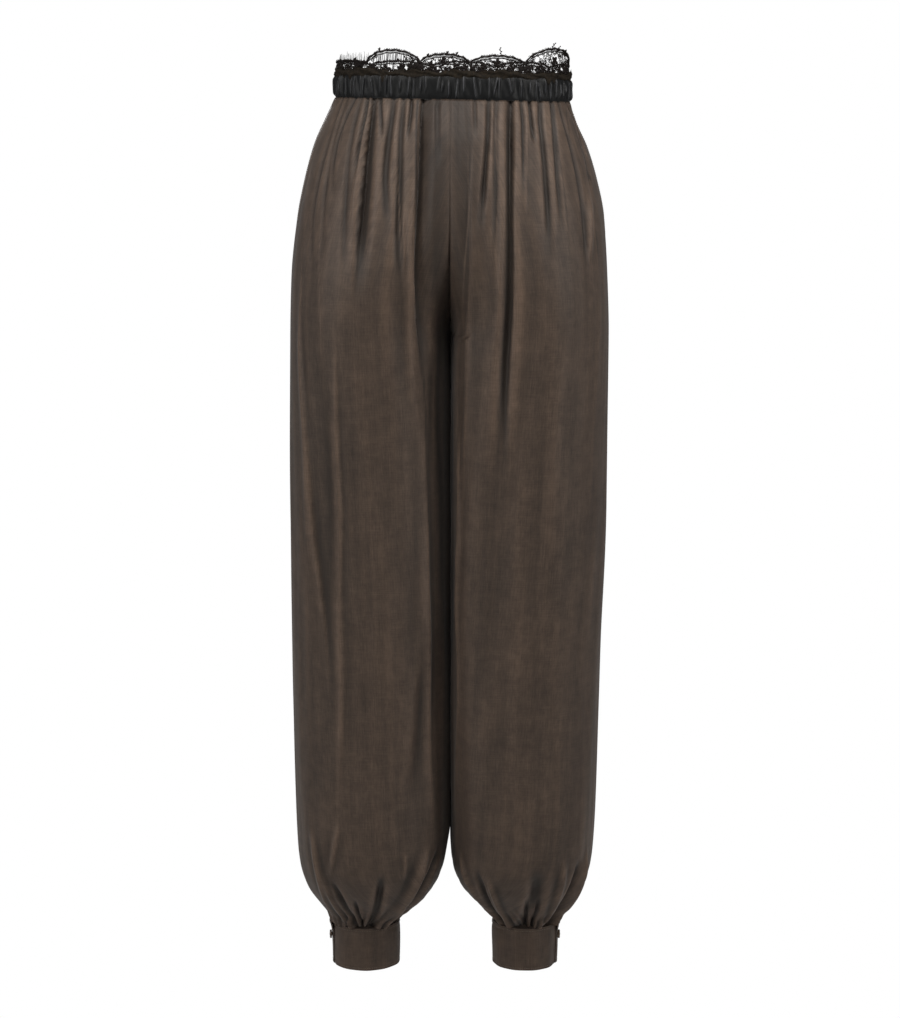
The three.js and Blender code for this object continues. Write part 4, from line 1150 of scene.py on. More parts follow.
# %% Thread tree
def node_tree(name, sockets):
    """An empty geometry tree with a geometry in and out and the given named inputs."""
    tree = bpy.data.node_groups.new(name, "GeometryNodeTree")
    tree.interface.new_socket(name="Geometry", in_out="INPUT", socket_type="NodeSocketGeometry")
    tree.interface.new_socket(name="Geometry", in_out="OUTPUT", socket_type="NodeSocketGeometry")
    for label, kind in sockets:
        tree.interface.new_socket(name=label, in_out="INPUT", socket_type=kind)
    return tree, tree.nodes.new("NodeGroupInput").outputs


def end_tree(tree, geometry, finish):
    """Smooth shading, real geometry and a material, which every tree here ends in."""
    soft = add_node(tree, "GeometryNodeSetShadeSmooth", Geometry=geometry)
    real = add_node(tree, "GeometryNodeRealizeInstances", Geometry=soft.outputs[0])
    dressed = add_node(tree, "GeometryNodeSetMaterial", Geometry=real.outputs[0], Material=finish)
    tree.links.new(dressed.outputs[0], tree.nodes.new("NodeGroupOutput").inputs[0])


thread_tree, given = node_tree("round_thread", [
    ("Sides", "NodeSocketInt"), ("Thickness", "NodeSocketFloat"), ("Finish", "NodeSocketMaterial"),
])
path = add_node(thread_tree, "GeometryNodeMeshToCurve", Mesh=given["Geometry"])
radius = add_node(thread_tree, "GeometryNodeInputNamedAttribute", {"data_type": "FLOAT"},
                  Name="thread_radius")
thick = maths(thread_tree, "MULTIPLY", radius.outputs[0], given["Thickness"])
round_section = add_node(thread_tree, "GeometryNodeCurvePrimitiveCircle",
                         Resolution=given["Sides"], Radius=1.0)
tube = add_node(thread_tree, "GeometryNodeCurveToMesh", Curve=path.outputs[0], Scale=thick,
                Profile_Curve=round_section.outputs[0], Fill_Caps=True)
end_tree(thread_tree, tube.outputs[0], given["Finish"])
print("nodes of the thread tree:", len(thread_tree.nodes))

# %% Run a tree on a mesh
def finished_mesh(maker):
    """What an object looks like with its modifiers, as a plain mesh; the object is removed."""
    bpy.context.view_layer.update()
    mesh = bpy.data.meshes.new_from_object(maker.evaluated_get(bpy.context.evaluated_depsgraph_get()))
    bpy.data.objects.remove(maker)
    return mesh


def grow(name, mesh, tree, **inputs):
    """Runs a geometry tree on a mesh and keeps the result as a plain object."""
    seed = new_object(name + "_seed", mesh)
    modifier = seed.modifiers.new("grow", "NODES")
    modifier.node_group = tree
    for item in tree.interface.items_tree:
        if item.in_out == "INPUT" and item.name in inputs:
            modifier[item.identifier] = inputs[item.name]
    made = finished_mesh(seed)
    made.name = name
    return new_object(name, made)


def thread_paths(name, paths):
    """A mesh of edges from (points in mm, radius in mm, closed) paths."""
    points = hang(np.concatenate([p for p, _, _ in paths]))
    radii = np.concatenate([np.broadcast_to(r, len(p)) for p, r, _ in paths])
    edges, first = [], 0
    for p, _, closed in paths:
        index = np.arange(first, first + len(p))
        edges.append(np.stack([index[:-1], index[1:]], -1))
        if closed:
            edges.append(np.array([[index[-1], index[0]]]))
        first += len(p)
    mesh = bpy.data.meshes.new(name)
    mesh.from_pydata((points * MM).tolist(), np.concatenate(edges).tolist(), [])
    stored = mesh.attributes.new("thread_radius", "FLOAT", "POINT")
    stored.data.foreach_set("value", (radii * MM).astype(np.float32))
    return mesh

# %% [markdown]
# ## The frayed frill
# A raw strip of chiffon is caught behind the band and stands up from it in small, crooked
# waves. Its cut edges have frayed into loose threads, and here and there it hangs over the band.
# The threads could be drawn one by one; here one rule draws about a thousand of them.

# %% Frill
FRILL_COLUMNS, FRILL_ROWS = 900, 12
TOP_THREADS, FOOT_THREADS = 620, 420
FRILL_FOOT, FRILL_TOP, FRILL_WALL = 10.2, 17.4, 0.7
FRILL_TABS = [  # distance along the waist, drop, half width
    (-118, 5, 5), (-74, 6.5, 3.6), (-131, 3, 4), (112, 6, 6),
    (122, 4.5, 4), (20, 2, 5), (240, 4, 6), (330, 5, 4),
]


def frill_shape(s, v):
    """Rise and height of the strip at a place along it and a share of its height."""
    wave = np.sin(s / 1.9 + 2.2 * np.sin(s / 11)) + 0.6 * np.sin(s / 0.95 + 1.7 * np.sin(s / 7))
    slow = np.sin(s / 9 + 1.3) + 0.7 * np.sin(s / 23)
    top = FRILL_TOP + 1.1 * slow + 0.8 * np.sin(s / 2.7) + 0.5 * uneven(np.round(s / 0.8), 13)
    foot = FRILL_FOOT + 0.8 * np.sin(s / 4.1 + 2) + 0.4 * uneven(np.round(s / 0.8), 14)
    for place, drop, wide in FRILL_TABS:
        off = round_waist(s - place)
        foot = foot - drop * crest(off, wide, wide, 1.5)
    lean = 0.9 + 0.55 * wave * (0.35 + 0.65 * v) + 0.5 * slow * v - 0.9 * np.abs(2 * v - 1) ** 3
    fold = 0.8 * np.sin(6.5 * v + s / 6 + 1.5 * np.sin(s / 17))
    return lean + fold * 0.7, foot * (1 - v) + top * v


def build_frill():
    """The strip as a closed ring, with its two edges frayed."""
    s = np.arange(FRILL_COLUMNS) * WAIST_LENGTH / FRILL_COLUMNS
    v = np.linspace(0, 1, FRILL_ROWS)[:, None]
    rise, z = frill_shape(s[None, :], v)
    outer, inner = waist_place(s[None, :], rise, z), waist_place(s[None, :], rise - FRILL_WALL, z)
    return cloth_shell("chiffon_strip", outer, inner, flat_place(s, z, 7), chiffon, ring=True)


def frayed_threads(count, v_at, up, salt):
    """Loose threads that leave one edge of the strip."""
    paths = []
    for i in range(count):
        s = (i + 0.5 * odd(i, salt)) * WAIST_LENGTH / count
        rise, z = frill_shape(np.array(s), v_at)
        long = (1.6 + 1.5 * odd(i, salt + 1)) * up
        t = np.linspace(-0.25, 1, 5)
        bend = 1.3 * odd(i, salt + 2) * t**2 + 0.5 * odd(i, salt + 3) * t
        out = (rise - FRILL_WALL / 2) + 0.8 * odd(i, salt + 4) * t**2
        paths.append((waist_place(s + bend, out, z + long * t), np.linspace(0.17, 0.07, 5), False))
    return paths


frill = build_frill()
loose = frayed_threads(TOP_THREADS, 1.0, 1, 60) + frayed_threads(FOOT_THREADS, 0.0, -1, 70)
fray = grow("chiffon_fray", thread_paths("fray", loose), thread_tree, Sides=4, Thickness=1.0, Finish=chiffon)
dress(frill, "waist_frill")
dress(fray)

# %% [markdown]
# ## The lace edging
# This lace is corded: a thick cord draws each scallop, thinner ones the stems, and loops of fine
# thread fill the petals and the ground. It is designed flat, as s along the waist and h above
# the band, scallop by scallop, then wrapped round the ring. Its flowers are plain five-petalled
# ones, and every ring and bar is placed by rule with a fixed unevenness. A flat sheet with
# see-through parts would be lighter, but real threads keep their roundness from close by.

# %% Lace design helpers
LACE_Z = BAND_TOP + 0.3
LACE_RISE = -1.9
LACE_PHASE, LACE_SCALLOPS = -9, 10
LACE_VALLEY, LACE_PEAK = 12.6, 25
LACE_FULLNESS = 1.45
CORD_POINTS, GROUND_ROWS, GROUND_COLUMNS = 44, 8, 17
SCALLOP = WAIST_LENGTH / LACE_SCALLOPS
# The lace is gathered more at the front, so its scallops are narrower there than as designed.
LACE_DESIGN = np.concatenate([[-600], LACE_PHASE + (np.arange(-2, 4) - 0.5) * SCALLOP, [600]])
LACE_REAL = np.concatenate([[-600], [LACE_DESIGN[1], -94, -32.5, 21.5, 83, LACE_DESIGN[6]], [600]])
LACE_PEAKS = {-2: 14.5, -1: 25.5, 0: 22, 1: 21.5, 2: 31, 3: 17, 4: 19, 5: 19, 6: 18, 7: 15.5}


def lace_edge(t, number):
    """Height of the scalloped edge at a share t of one scallop."""
    peak = LACE_PEAKS.get(number, LACE_PEAK)
    return LACE_VALLEY + (peak - LACE_VALLEY) * (1 - np.clip(2 * t - 1, -1, 1) ** 2) ** 0.6


def lace_place(s, h, lift=0.0):
    """Wraps flat lace onto the ring, with a slight wave in its upper part."""
    s = np.interp(s, LACE_DESIGN, LACE_REAL)
    sway = 0.8 * np.sin(s / 8 + 0.7) * np.clip(h / 26, 0, 1.2)
    return waist_place(s, LACE_RISE + lift + sway, LACE_Z + h)


def loop_path(s, h, wide, tall, turn=0.0, salt=0.0, points=9):
    """A closed uneven ring of thread."""
    a = 2 * math.pi * np.arange(points) / points
    size = 1 + 0.14 * uneven(np.arange(points), salt)
    x, y = wide * size * np.cos(a), tall * size * np.sin(a)
    c, d = math.cos(turn), math.sin(turn)
    return s + c * x - d * y, h + d * x + c * y


print("one scallop:", round(float(SCALLOP), 1), "mm along the waist")

# %% Cords, flowers and sprigs
def lace_cords(number):
    """The thick outer cord, a thinner one inside it, bars between them and picots outside."""
    t = np.linspace(0, 1, CORD_POINTS)
    start = LACE_PHASE + (number - 0.5) * SCALLOP
    s, h = start + SCALLOP * t, lace_edge(t, number)
    h = h + 0.35 * np.sin(s / 2.1) - 0.5
    yield lace_place(s, h, 0.35), 0.8 + 0.16 * np.sin(s / 1.3), False
    low = np.maximum(h - 2.9, 3)
    yield lace_place(s, low, 0.15), 0.42 + 0.1 * np.sin(s / 0.9), False
    for k in range(CORD_POINTS - 1):
        yield lace_place(s[[k, k + 1]], np.array([h[k], low[k + 1]])), 0.26, False
    for k in range(1, CORD_POINTS - 1, 2):
        if odd(k, number + 5) > -0.35:
            a = np.linspace(0, math.pi, 6)
            yield lace_place(s[k] + 1.1 * np.cos(a), h[k] + 0.6 + 1.2 * np.sin(a)), 0.2, False
    foot = start + SCALLOP * np.linspace(0, 1, 30)
    yield lace_place(foot, 1.2 + 0.3 * np.sin(foot / 2)), 0.5, False
    yield lace_place(foot, 4.2 + 0.5 * np.sin(foot / 3.1)), 0.42, False


def lace_flower(s, h, size, salt):
    """Five petals, each a loop of thread round a solid worked middle, and a knotted heart."""
    for k in range(5):
        a = 2 * math.pi * (k + 0.2 * odd(k, salt)) / 5 + salt
        ps, ph = s + size * 0.62 * math.cos(a), h + size * 0.62 * math.sin(a)
        ring = loop_path(ps, ph, size * 0.46, size * 0.3, a, salt + k)
        yield lace_place(*ring, 0.3), 0.36, True
        reach = np.linspace(0.28, 0.95, 5)
        core = np.array([0.3, 0.17 * size, 0.2 * size, 0.15 * size, 0.25])
        yield lace_place(s + size * reach * math.cos(a), h + size * reach * math.sin(a), 0.1), core, False
    yield lace_place(*loop_path(s, h, 0.9, 0.9, 0, salt, 6), 0.5), 0.5, True


def lace_sprig(s, h, long, lean, salt=0):
    """A stem with a few leaves that stands above the edge."""
    t = np.linspace(0, 1, 5)
    yield lace_place(s + lean * t**1.5, h + long * t, 0.2), 0.34 - 0.14 * t, False
    for k in range(4):
        at, way = 0.35 + 0.2 * k, 1 if k % 2 else -1
        leaf = np.linspace(0, 1, 4)
        ls = s + lean * at**1.5 + way * 1.7 * leaf
        lh = h + long * at + 1.1 * leaf + 0.3 * odd(k, salt)
        yield lace_place(ls, lh, 0.2), np.array([0.2, 0.5, 0.45, 0.15]), False


print("threads in the cords of one scallop:", sum(1 for _ in lace_cords(0)))

# %% The ground of the lace
def lace_ground(number, taken, is_open):
    """Small rings packed into what is left of a scallop, joined by bars."""
    start = LACE_PHASE + (number - 0.5) * SCALLOP
    rings = []
    for j in range(GROUND_ROWS):
        for i in range(GROUND_COLUMNS):
            s = start + (i + 0.5 + 0.45 * odd(i + 31 * j, number + 80)) * SCALLOP / GROUND_COLUMNS
            h = 2.6 + (j + 0.5 * (i % 2) + 0.35 * odd(i + 17 * j, number + 81)) * 3.6
            above = h > lace_edge((s - start) / SCALLOP, number) - 3.4
            on_flower = any((s - a) ** 2 + (h - b) ** 2 < (r + 0.6) ** 2 for a, b, r in taken)
            if not (above or on_flower or is_open(s, h)):
                rings.append((s, h))
    for k, (s, h) in enumerate(rings):
        size = 1.7 + 0.5 * odd(k, number + 82)
        ring = loop_path(s, h, size, size * 0.85, odd(k, 83), k, 7)
        yield lace_place(*ring, 0.1 * odd(k, 84)), 0.3 + 0.08 * odd(k, 85), True
        near = sorted(rings, key=lambda other: (other[0] - s) ** 2 + (other[1] - h) ** 2)[1:3]
        for a, b in near:
            if (a - s) ** 2 + (b - h) ** 2 < 34:
                yield lace_place(np.array([s, a]), np.array([h, b])), 0.22, False


def lace_lashes(first, last, count, h, long, salt):
    """Loose ends of warp thread that stand above the edge like eyelashes."""
    for i in range(count):
        s = first + (last - first) * (i + 0.5 * odd(i, salt)) / count
        rise = long * (0.75 + 0.3 * odd(i, salt + 1))
        t = np.linspace(0, 1, 4)
        bend = 0.9 * odd(i, salt + 2) * t**2
        yield lace_place(s + bend, h + rise * t), 0.16 - 0.06 * t, False


print("threads that fill one bare scallop:", sum(1 for _ in lace_ground(0, [], lambda s, h: False)))

# %% [markdown]
# ## Putting the lace together
# Each scallop takes its cords, then its flowers, then the ground round them. One scallop has an
# open window of upright threads instead of ground. Sprigs and loose lashes stand on some edges.

# %% Put the lace together
BLOOMS = {  # scallop: distance from its middle, height, size
    -2: [(-22, 7, 4.6), (2, 8, 4.6), (24, 7, 4.4)],
    -1: [(-30, 7, 4.4), (24, 8, 5), (33, 9, 4)],
}
SPRIGS = [(67, 20, 9, -2, 3), (130, 30, 6.5, 5, 4), (140, 27, 6, 3, 5)]  # s, h, long, lean, salt
LASHES = [(-156, -110, 40, 13, 10, 92), (129, 153, 16, 24, 5, 94)]  # first, last, count, h, long, salt
WINDOW_SCALLOP, WINDOW_THREADS = -1, 22


def window_threads(middle):
    """Upright threads that hang in the open window from the inner cord."""
    for i in range(WINDOW_THREADS):
        s = middle - 22 + 1.8 * i + 0.5 * odd(i, 90)
        top = float(lace_edge((s - middle) / SCALLOP + 0.5, WINDOW_SCALLOP)) - 2.8
        t = np.linspace(0, 1, 5)
        long = top - 4 - (3 + 3 * odd(i, 91))
        yield lace_place(s + 0.8 * np.sin(3 * t + i), top - long * t), 0.2 + 0.2 * t * (1 - t), False


def lace_scallop(number):
    """All the thread paths of one scallop."""
    middle = LACE_PHASE + number * SCALLOP
    yield from lace_cords(number)
    high = min(LACE_PEAKS.get(number, LACE_PEAK) - 8, 17)
    usual = [(-20, 8.5, 5.4), (17, 8, 5.6), (-2, high, 5.0), (30, 7, 4.2), (-33, 7, 4)]
    taken = []
    for k, (ds, h, size) in enumerate(BLOOMS.get(number, usual)):
        yield from lace_flower(middle + ds, h, size, number * 7 + k)
        taken.append((middle + ds, h, size))
    yield from lace_ground(
        number, taken, lambda s, h: number == WINDOW_SCALLOP and -22 < s - middle < 17 and h > 5)
    if number == WINDOW_SCALLOP:
        yield from window_threads(middle)
    for k in range(3):
        at = 0.22 + 0.28 * k + 0.06 * odd(k, number)
        if odd(k, number + 40) > 0.1:
            yield from lace_sprig(middle + (at - 0.5) * SCALLOP, float(lace_edge(at, number)) - 0.5,
                                  3.2 + 1.2 * odd(k, number + 41), 1.5 * odd(k, number + 42), k)


def build_lace(name, first):
    """Five scallops as one piece."""
    paths = [path for number in range(first, first + 5) for path in lace_scallop(number)]
    if name.endswith("front"):
        paths += [path for sprig in SPRIGS for path in lace_sprig(*sprig)]
        paths += [path for lashes in LASHES for path in lace_lashes(*lashes)]
    return grow(name, thread_paths(name, paths), thread_tree,
                Sides=5, Thickness=LACE_FULLNESS, Finish=lace_thread)


laces = []
for name, first in (("lace_front", -2), ("lace_back", 3)):
    laces.append(build_lace("corded_" + name, first))
    dress(laces[-1], name)

# %% [markdown]
# ## Cuffs
# Each cuff is one straight strip, doubled and wound round the ankle, so its outer end laps over
# its inner end and can be buttoned. The seam along its top and the hem along its foot make two
# thin raised lines. One strip on an oval, whose rise grows past a full turn, makes the lap; two
# separate rings could not pass over each other.

# %% Cuff shape
CUFF_END, CUFF_WALL, CUFF_LAP, CUFF_CLEARANCE = -1006.6, 1.2, 18, 0.3
CUFF_LAP_TURN, CUFF_AROUND, CUFF_FLARE = 0.3, 38, 3.2
CUFF_IN_OUTSIDE, CUFF_OUT_INSIDE = 2.2, 1.3  # how the cuff stands off the ends of the seams
CUFF_TOP = LEG_END - 0.3
CUFF_ROWS = np.array([0, 0.02, 0.035, 0.055, 0.08, 0.1, 0.12, 0.15, 0.2, 0.3, 0.4, 0.5, 0.6, 0.7, 0.8,
                      0.88, 0.91, 0.93, 0.95, 0.98, 1])
CUFF_COLUMNS = 190
SEAM_ROW, HEM_ROW = 0.055, 0.945
CUFF_SALTS = {"right": 1, "left": 4}


def cuff_size(side):
    """Middle, half width, half depth and seam line of a cuff's oval."""
    outer = float(side_seam[side](LEG_END)) - CUFF_IN_OUTSIDE
    inner = float(inseam[side](LEG_END)) - CUFF_OUT_INSIDE
    half = float(depth["front"](LEG_END) + depth["back"](LEG_END)) / 2
    return (outer + inner) / 2, (outer - inner) / 2, half, float(seam_line_y(LEG_END))


def cuff_place(side, turn, rise, z):
    """Points on a cuff; turn runs from the outer side of the leg round the front."""
    middle, reach, half, seam_y = cuff_size(side)
    x = SIGN[side] * (middle + (reach + rise) * np.cos(turn))
    return np.stack(np.broadcast_arrays(x, seam_y - (half + rise) * np.sin(turn), z), -1)


def cuff_turns(side):
    """How far the strip and its lap go round, in radians."""
    _, reach, half, _ = cuff_size(side)
    lap = 2 * math.pi * CUFF_LAP / (math.pi * (reach + half))
    return 2 * math.pi + lap, lap


def cuff_rise(side, t, z, salt):
    """How far the cloth stands out: tucked under at its inner end, flared at its outer corner."""
    full, lap = cuff_turns(side)
    tucked = -(CUFF_WALL + CUFF_CLEARANCE) * (1 - smooth((t * full - lap - 0.05) / 0.5))
    down = (CUFF_TOP - z) / (CUFF_TOP - CUFF_END)
    flare = CUFF_FLARE * (1 - smooth(down * 3.4)) * smooth((t * full - 2 * math.pi + 0.4) / 0.5)
    belly = 0.5 * smooth(down * 4) * (1 - smooth((down - 0.3) / 0.7))
    wander = 0.3 * np.sin(5 * t * full + salt + 4 * down) * smooth(down * 3)
    soft = wander + 0.22 * np.sin(11 * t * full + salt)
    seam = 0.35 * np.exp(-((down - 0.035) / 0.03) ** 2) - 0.35 * np.exp(-((down - 0.1) / 0.025) ** 2)
    hem = -0.3 * np.exp(-((down - 0.93) / 0.02) ** 2)
    return tucked + flare + belly + soft + seam + hem


def build_cuff(side, salt):
    """One cuff as a walled strip."""
    full, lap = cuff_turns(side)
    t = np.linspace(0, 1, CUFF_COLUMNS)[None, :]
    z = (CUFF_TOP + CUFF_ROWS * (CUFF_END - CUFF_TOP))[:, None] + 0 * t
    rise = cuff_rise(side, t, z, salt)
    turn = CUFF_LAP_TURN - lap + t * full
    thin = smooth((t - 0.975) / 0.025)
    outer, inner = (cuff_place(side, turn, r, z) for r in (rise - 0.6 * thin, rise - CUFF_WALL))
    return cloth_shell(side + "_ankle_cuff", outer, inner, flat_place(t * full * CUFF_AROUND, z, 50 + salt),
                       cuff_silk)


cuffs = {side: build_cuff(side, salt) for side, salt in CUFF_SALTS.items()}
for side, cuff in cuffs.items():
    dress(cuff, side + "_cuff")

# %% [markdown]
# ## Pocket facings
# The side pockets stand open a little, and a strip of the same silk lies under each mouth. A
# separate curved sheet could be fitted there; this one is the panels' own calm form, sunk a
# little below their inner faces, so it follows the hip without fitting.

# %% Facings
FACING_SINK, FACING_WALL, FACING_RIPPLE = 2.6, 0.8, 0.3
FACING_BACK, FACING_FRONT, FACING_COLUMNS = 4, 9, 14
FACING_TOP, FACING_FOOT, FACING_ROWS = -25, -163, 60


def build_facing(side):
    """The strip of cloth that shows in the pocket mouth."""
    across = np.linspace(-FACING_BACK, FACING_FRONT, FACING_COLUMNS)
    calm = np.array([
        [panel_point(side, "back" if d < 0 else "front", z, abs(d)) for d in across]
        for z in np.linspace(FACING_TOP, FACING_FOOT, FACING_ROWS)
    ])
    ripple = FACING_RIPPLE * np.sin(calm[..., 2] / 6.5 + np.linspace(0, 4, FACING_COLUMNS))
    cloth = flat_place(across + FACING_BACK, calm[..., 2], 90)
    return sunk_strip(side + "_pocket_strip", calm, (1, 0, 0), (FACING_SINK + ripple)[..., None],
                      FACING_SINK + FACING_WALL, cloth, cuff_silk)


facings = {side: build_facing(side) for side in SIDES}
for side, facing in facings.items():
    dress(facing, side + "_pocket_facing")

# %% [markdown]
# ## Buttons
# A small four-hole button of brown horn closes each cuff. A flat curve with four round holes,
# given a depth and a rolled edge, makes the disc; a thin ring makes its raised rim, and two
# crossing threads hold it. Boolean cuts could make the holes as well, but a filled curve gives
# them clean round edges.

# %% Button parts
BUTTON_RADIUS, BUTTON_THICKNESS, BUTTON_Z = 5.0, 2.0, -974.0
BUTTON_TURN = CUFF_LAP_TURN - 0.22
BUTTON_ROLL, HOLE_RADIUS, HOLE_PLACE = 0.35, 0.55, 1.25
RIM_STEPS, RIM_SIDES, HOLE_STEPS = 44, 8, 14


def circle_points(radius, count, x=0.0, y=0.0):
    """Points of a circle in a plane."""
    a = 2 * math.pi * np.arange(count) / count
    return np.stack([x + radius * np.cos(a), y + radius * np.sin(a), 0 * a], -1)


def button_disc():
    """The disc with its four holes as a mesh in millimetres round its own centre."""
    curve = bpy.data.curves.new("button_disc", "CURVE")
    curve.dimensions, curve.fill_mode = "2D", "BOTH"
    curve.extrude, curve.bevel_depth = BUTTON_THICKNESS / 2 - BUTTON_ROLL, BUTTON_ROLL
    curve.bevel_resolution = 2
    outline = [circle_points(BUTTON_RADIUS - BUTTON_ROLL, RIM_STEPS)]
    outline += [circle_points(HOLE_RADIUS + BUTTON_ROLL, HOLE_STEPS, x * HOLE_PLACE, y * HOLE_PLACE)
                for x, y in ((1, 1), (-1, 1), (-1, -1), (1, -1))]
    for loop in outline:
        spline = curve.splines.new("POLY")
        spline.points.add(len(loop) - 1)
        spline.points.foreach_set("co", np.concatenate([loop, np.ones((len(loop), 1))], 1).ravel())
        spline.use_cyclic_u = True
    return finished_mesh(new_object("button_disc", curve))


def ring_mesh(radius, thick, height):
    """A low ring as points and faces."""
    a, b = np.meshgrid(np.linspace(0, 2 * math.pi, RIM_STEPS, endpoint=False),
                       np.linspace(0, 2 * math.pi, RIM_SIDES, endpoint=False), indexing="ij")
    out = radius + thick * np.cos(b)
    points = np.stack([out * np.cos(a), out * np.sin(a), height + thick * 0.7 * np.sin(b)], -1)
    i, j = np.meshgrid(np.arange(RIM_STEPS), np.arange(RIM_SIDES), indexing="ij")
    corners = [((i + di) % RIM_STEPS) * RIM_SIDES + (j + dj) % RIM_SIDES
               for di, dj in ((0, 0), (1, 0), (1, 1), (0, 1))]
    return points.reshape(-1, 3), np.stack(corners, -1).reshape(-1, 4)


print("quads in the rim of a button:", len(ring_mesh(1, 0.1, 0)[1]))

# %% Sew the buttons on
def build_button(side):
    """The button in its place on the cuff, facing outwards, and the threads that hold it."""
    foot, far = (cuff_place(side, BUTTON_TURN, rise, BUTTON_Z) for rise in (0.9, 10.0))
    out = Vector(far - foot).normalized()
    turned = np.array(out.to_track_quat("Z", "Y").to_matrix()).T
    centre = np.array(Vector(foot) + out * (BUTTON_THICKNESS / 2))
    disc = button_disc()
    disc_points = np.array([tuple(v.co) for v in disc.vertices])
    rim_points, rim_quads = ring_mesh(BUTTON_RADIUS - 0.9, 0.5, BUTTON_THICKNESS / 2 - 0.1)
    placed = np.concatenate([disc_points, rim_points]) @ turned + centre
    faces = [tuple(p.vertices) for p in disc.polygons] + (rim_quads + len(disc_points)).tolist()
    button = new_object(side + "_button", plain_mesh(side + "_button", placed, faces, horn))
    t = np.linspace(-1, 1, 7)
    paths = []
    for x, y in ((1, 1), (-1, 1)):
        path = [t * x * HOLE_PLACE, t * y * HOLE_PLACE, BUTTON_THICKNESS / 2 + 0.32 - 0.9 * t**6]
        paths.append((np.stack(path, -1) @ turned + centre, 0.28, False))
    sewn = grow(side + "_button_thread", thread_paths("sewn", paths), thread_tree,
                Sides=6, Thickness=1.0, Finish=sewing_thread)
    return button, sewn


for side in SIDES:
    button, sewn = build_button(side)
    dress(button, side + "_cuff_button")
    dress(sewn)

# %% [markdown]
# ## Rows of stitches
# Machine stitches follow the edges of the cuffs and of the pocket mouths. A second small tree
# resamples a path into even steps and lays one short rounded stitch on each, turned along it. A
# drawn pattern would do from afar, but only real stitches throw a shadow.

# %% Stitch tree
stitch_tree, given = node_tree("stitch_row", [
    ("Step", "NodeSocketFloat"), ("Stitch length", "NodeSocketFloat"), ("Thread", "NodeSocketFloat"),
    ("Finish", "NodeSocketMaterial"),
])
path = add_node(stitch_tree, "GeometryNodeMeshToCurve", Mesh=given["Geometry"])
steps = add_node(stitch_tree, "GeometryNodeResampleCurve", {"mode": "LENGTH"},
                 Curve=path.outputs[0], Length=given["Step"])
along = add_node(stitch_tree, "GeometryNodeInputTangent")
turned = add_node(stitch_tree, "FunctionNodeAlignRotationToVector", {"axis": "X"}, Vector=along.outputs[0])
bead = add_node(stitch_tree, "GeometryNodeMeshUVSphere", Segments=6, Rings=4, Radius=0.5)
size = add_node(stitch_tree, "ShaderNodeCombineXYZ",
                X=given["Stitch length"], Y=given["Thread"], Z=given["Thread"])
laid = add_node(stitch_tree, "GeometryNodeInstanceOnPoints", Points=steps.outputs[0],
                Instance=bead.outputs[0], Rotation=turned.outputs[0], Scale=size.outputs[0])
end_tree(stitch_tree, laid.outputs[0], given["Finish"])
print("nodes of the stitch tree:", len(stitch_tree.nodes))

# %% Lay the stitches
STITCH_STEP, STITCH_LONG, STITCH_THICK = 2.6, 2.1, 0.42
STITCH_FROM_EDGE = 3.4
ROW_FROM, ROW_TO = 0.13, 0.995  # shares of the cuff strip; its first part lies under the lap


def cuff_path(side, down):
    """A line round a cuff's outer face at a share of its height."""
    full, lap = cuff_turns(side)
    t = np.linspace(ROW_FROM, ROW_TO, 160)
    z = CUFF_TOP + down * (CUFF_END - CUFF_TOP) + 0 * t
    rise = cuff_rise(side, t, z, CUFF_SALTS[side])
    return cuff_place(side, CUFF_LAP_TURN - lap + t * full, rise + 0.08, z)


def mouth_path(side):
    """A line beside the folded edge of a pocket mouth."""
    points = [panel_point(side, "front", z, float(mouth_width(z)) + STITCH_FROM_EDGE)
              for z in np.linspace(-26, -160, 60)]
    return np.array(points) + np.array([SIGN[side] * 0.1, 0, 0])


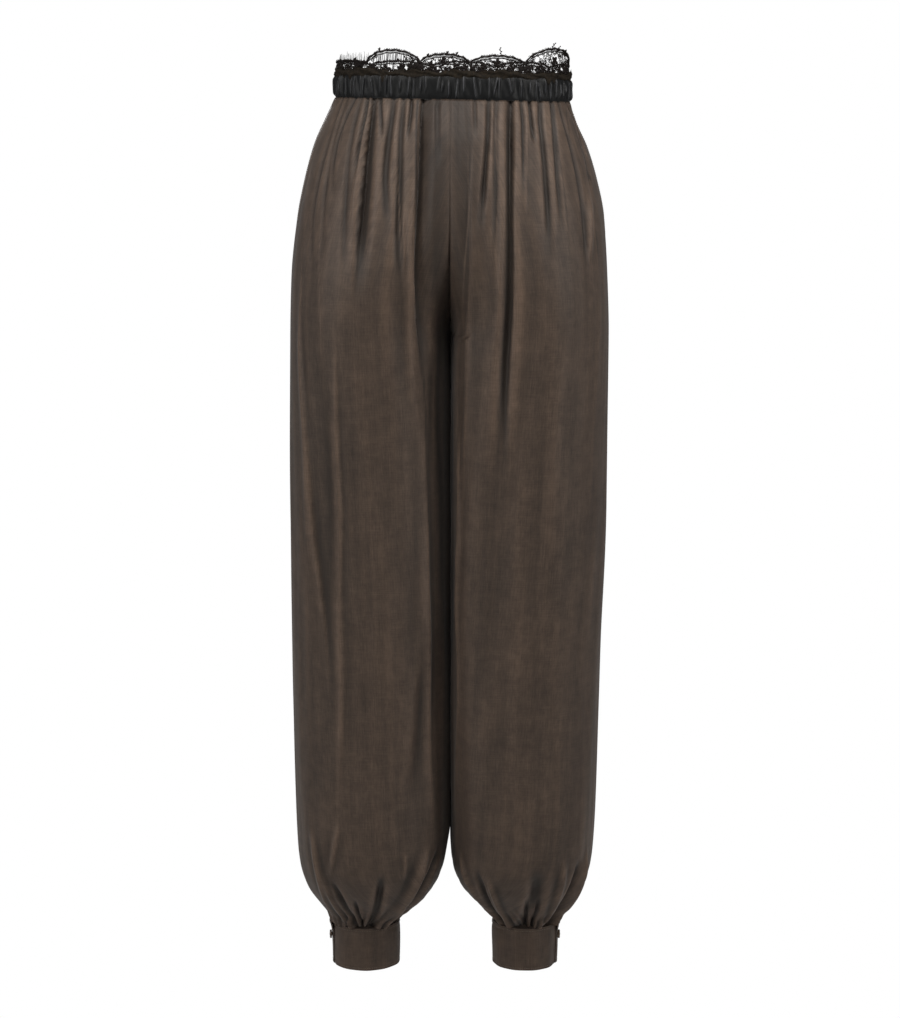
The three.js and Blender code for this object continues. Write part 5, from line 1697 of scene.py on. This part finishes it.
def buttonhole_path(side):
    """The worked edge of the buttonhole, a long oval under the button."""
    _, reach, half, _ = cuff_size(side)
    a = np.linspace(0, 2 * math.pi, 40, endpoint=False)
    turn = BUTTON_TURN + 7.2 * np.cos(a) / ((reach + half) / 2)
    return cuff_place(side, turn, 0.62 + 0 * a, BUTTON_Z + 1.1 * np.sin(a))


for side in SIDES:
    lines = [cuff_path(side, SEAM_ROW), cuff_path(side, HEM_ROW), mouth_path(side)]
    rows = thread_paths("rows", [(line, 0.2, False) for line in lines])
    stitches = grow(side + "_stitches", rows, stitch_tree, Finish=sewing_thread, **{
        "Step": STITCH_STEP * MM, "Stitch length": STITCH_LONG * MM, "Thread": STITCH_THICK * MM})
    edge = thread_paths("hole", [(buttonhole_path(side), 0.3, True)])
    hole = grow(side + "_buttonhole", edge, thread_tree, Sides=6, Thickness=1.0, Finish=sewing_thread)
    dress(stitches)
    dress(hole)

# %% [markdown]
# ## Flat cuts
# Every piece of cloth is given the size of its flat cut, and its area is printed against it. The
# panels are cut wider than they hang, because gathers take cloth up; the other cuts are plain
# strips. Band and cuffs are doubled strips, so their cut here is the half that shows.

# %% Flat cuts
def cloth_area(thing):
    """Area of one face of a piece in square metres."""
    return sum(face.area for face in thing.data.polygons) / 2


def declare(thing, flat, area=None):
    """Prints how the area of a piece compares with its flat cut."""
    cut = area or flat[0] * flat[1]
    print(thing.name, "cut", flat, "m, measured/cut", round(cloth_area(thing) / cut, 2))


for panel in panels.values():
    declare(panel, (0.33, 0.98), area=0.29)
for tape in tapes:
    declare(tape, (0.01, 0.36), area=0.0033)
declare(band, (0.80, 0.028))
declare(frill, (0.80, 0.010))
for lace in laces:
    declare(lace, (0.40, 0.033))
for side in SIDES:
    declare(cuffs[side], (0.26, 0.055))
    declare(facings[side], (0.14, 0.014))

# %% [markdown]
# The cloth may stand a little proud of the solids, but never more than a few millimetres. Both
# boxes are kept side by side in one table, and the new one is printed.

# %% Gather the sizes
new_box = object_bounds()
sizes = {
    "cad": [[float(v) for v in corner] for corner in cad_box],
    "visual": [[float(v) for v in corner] for corner in new_box],
}
print("visual box:", sizes["visual"])
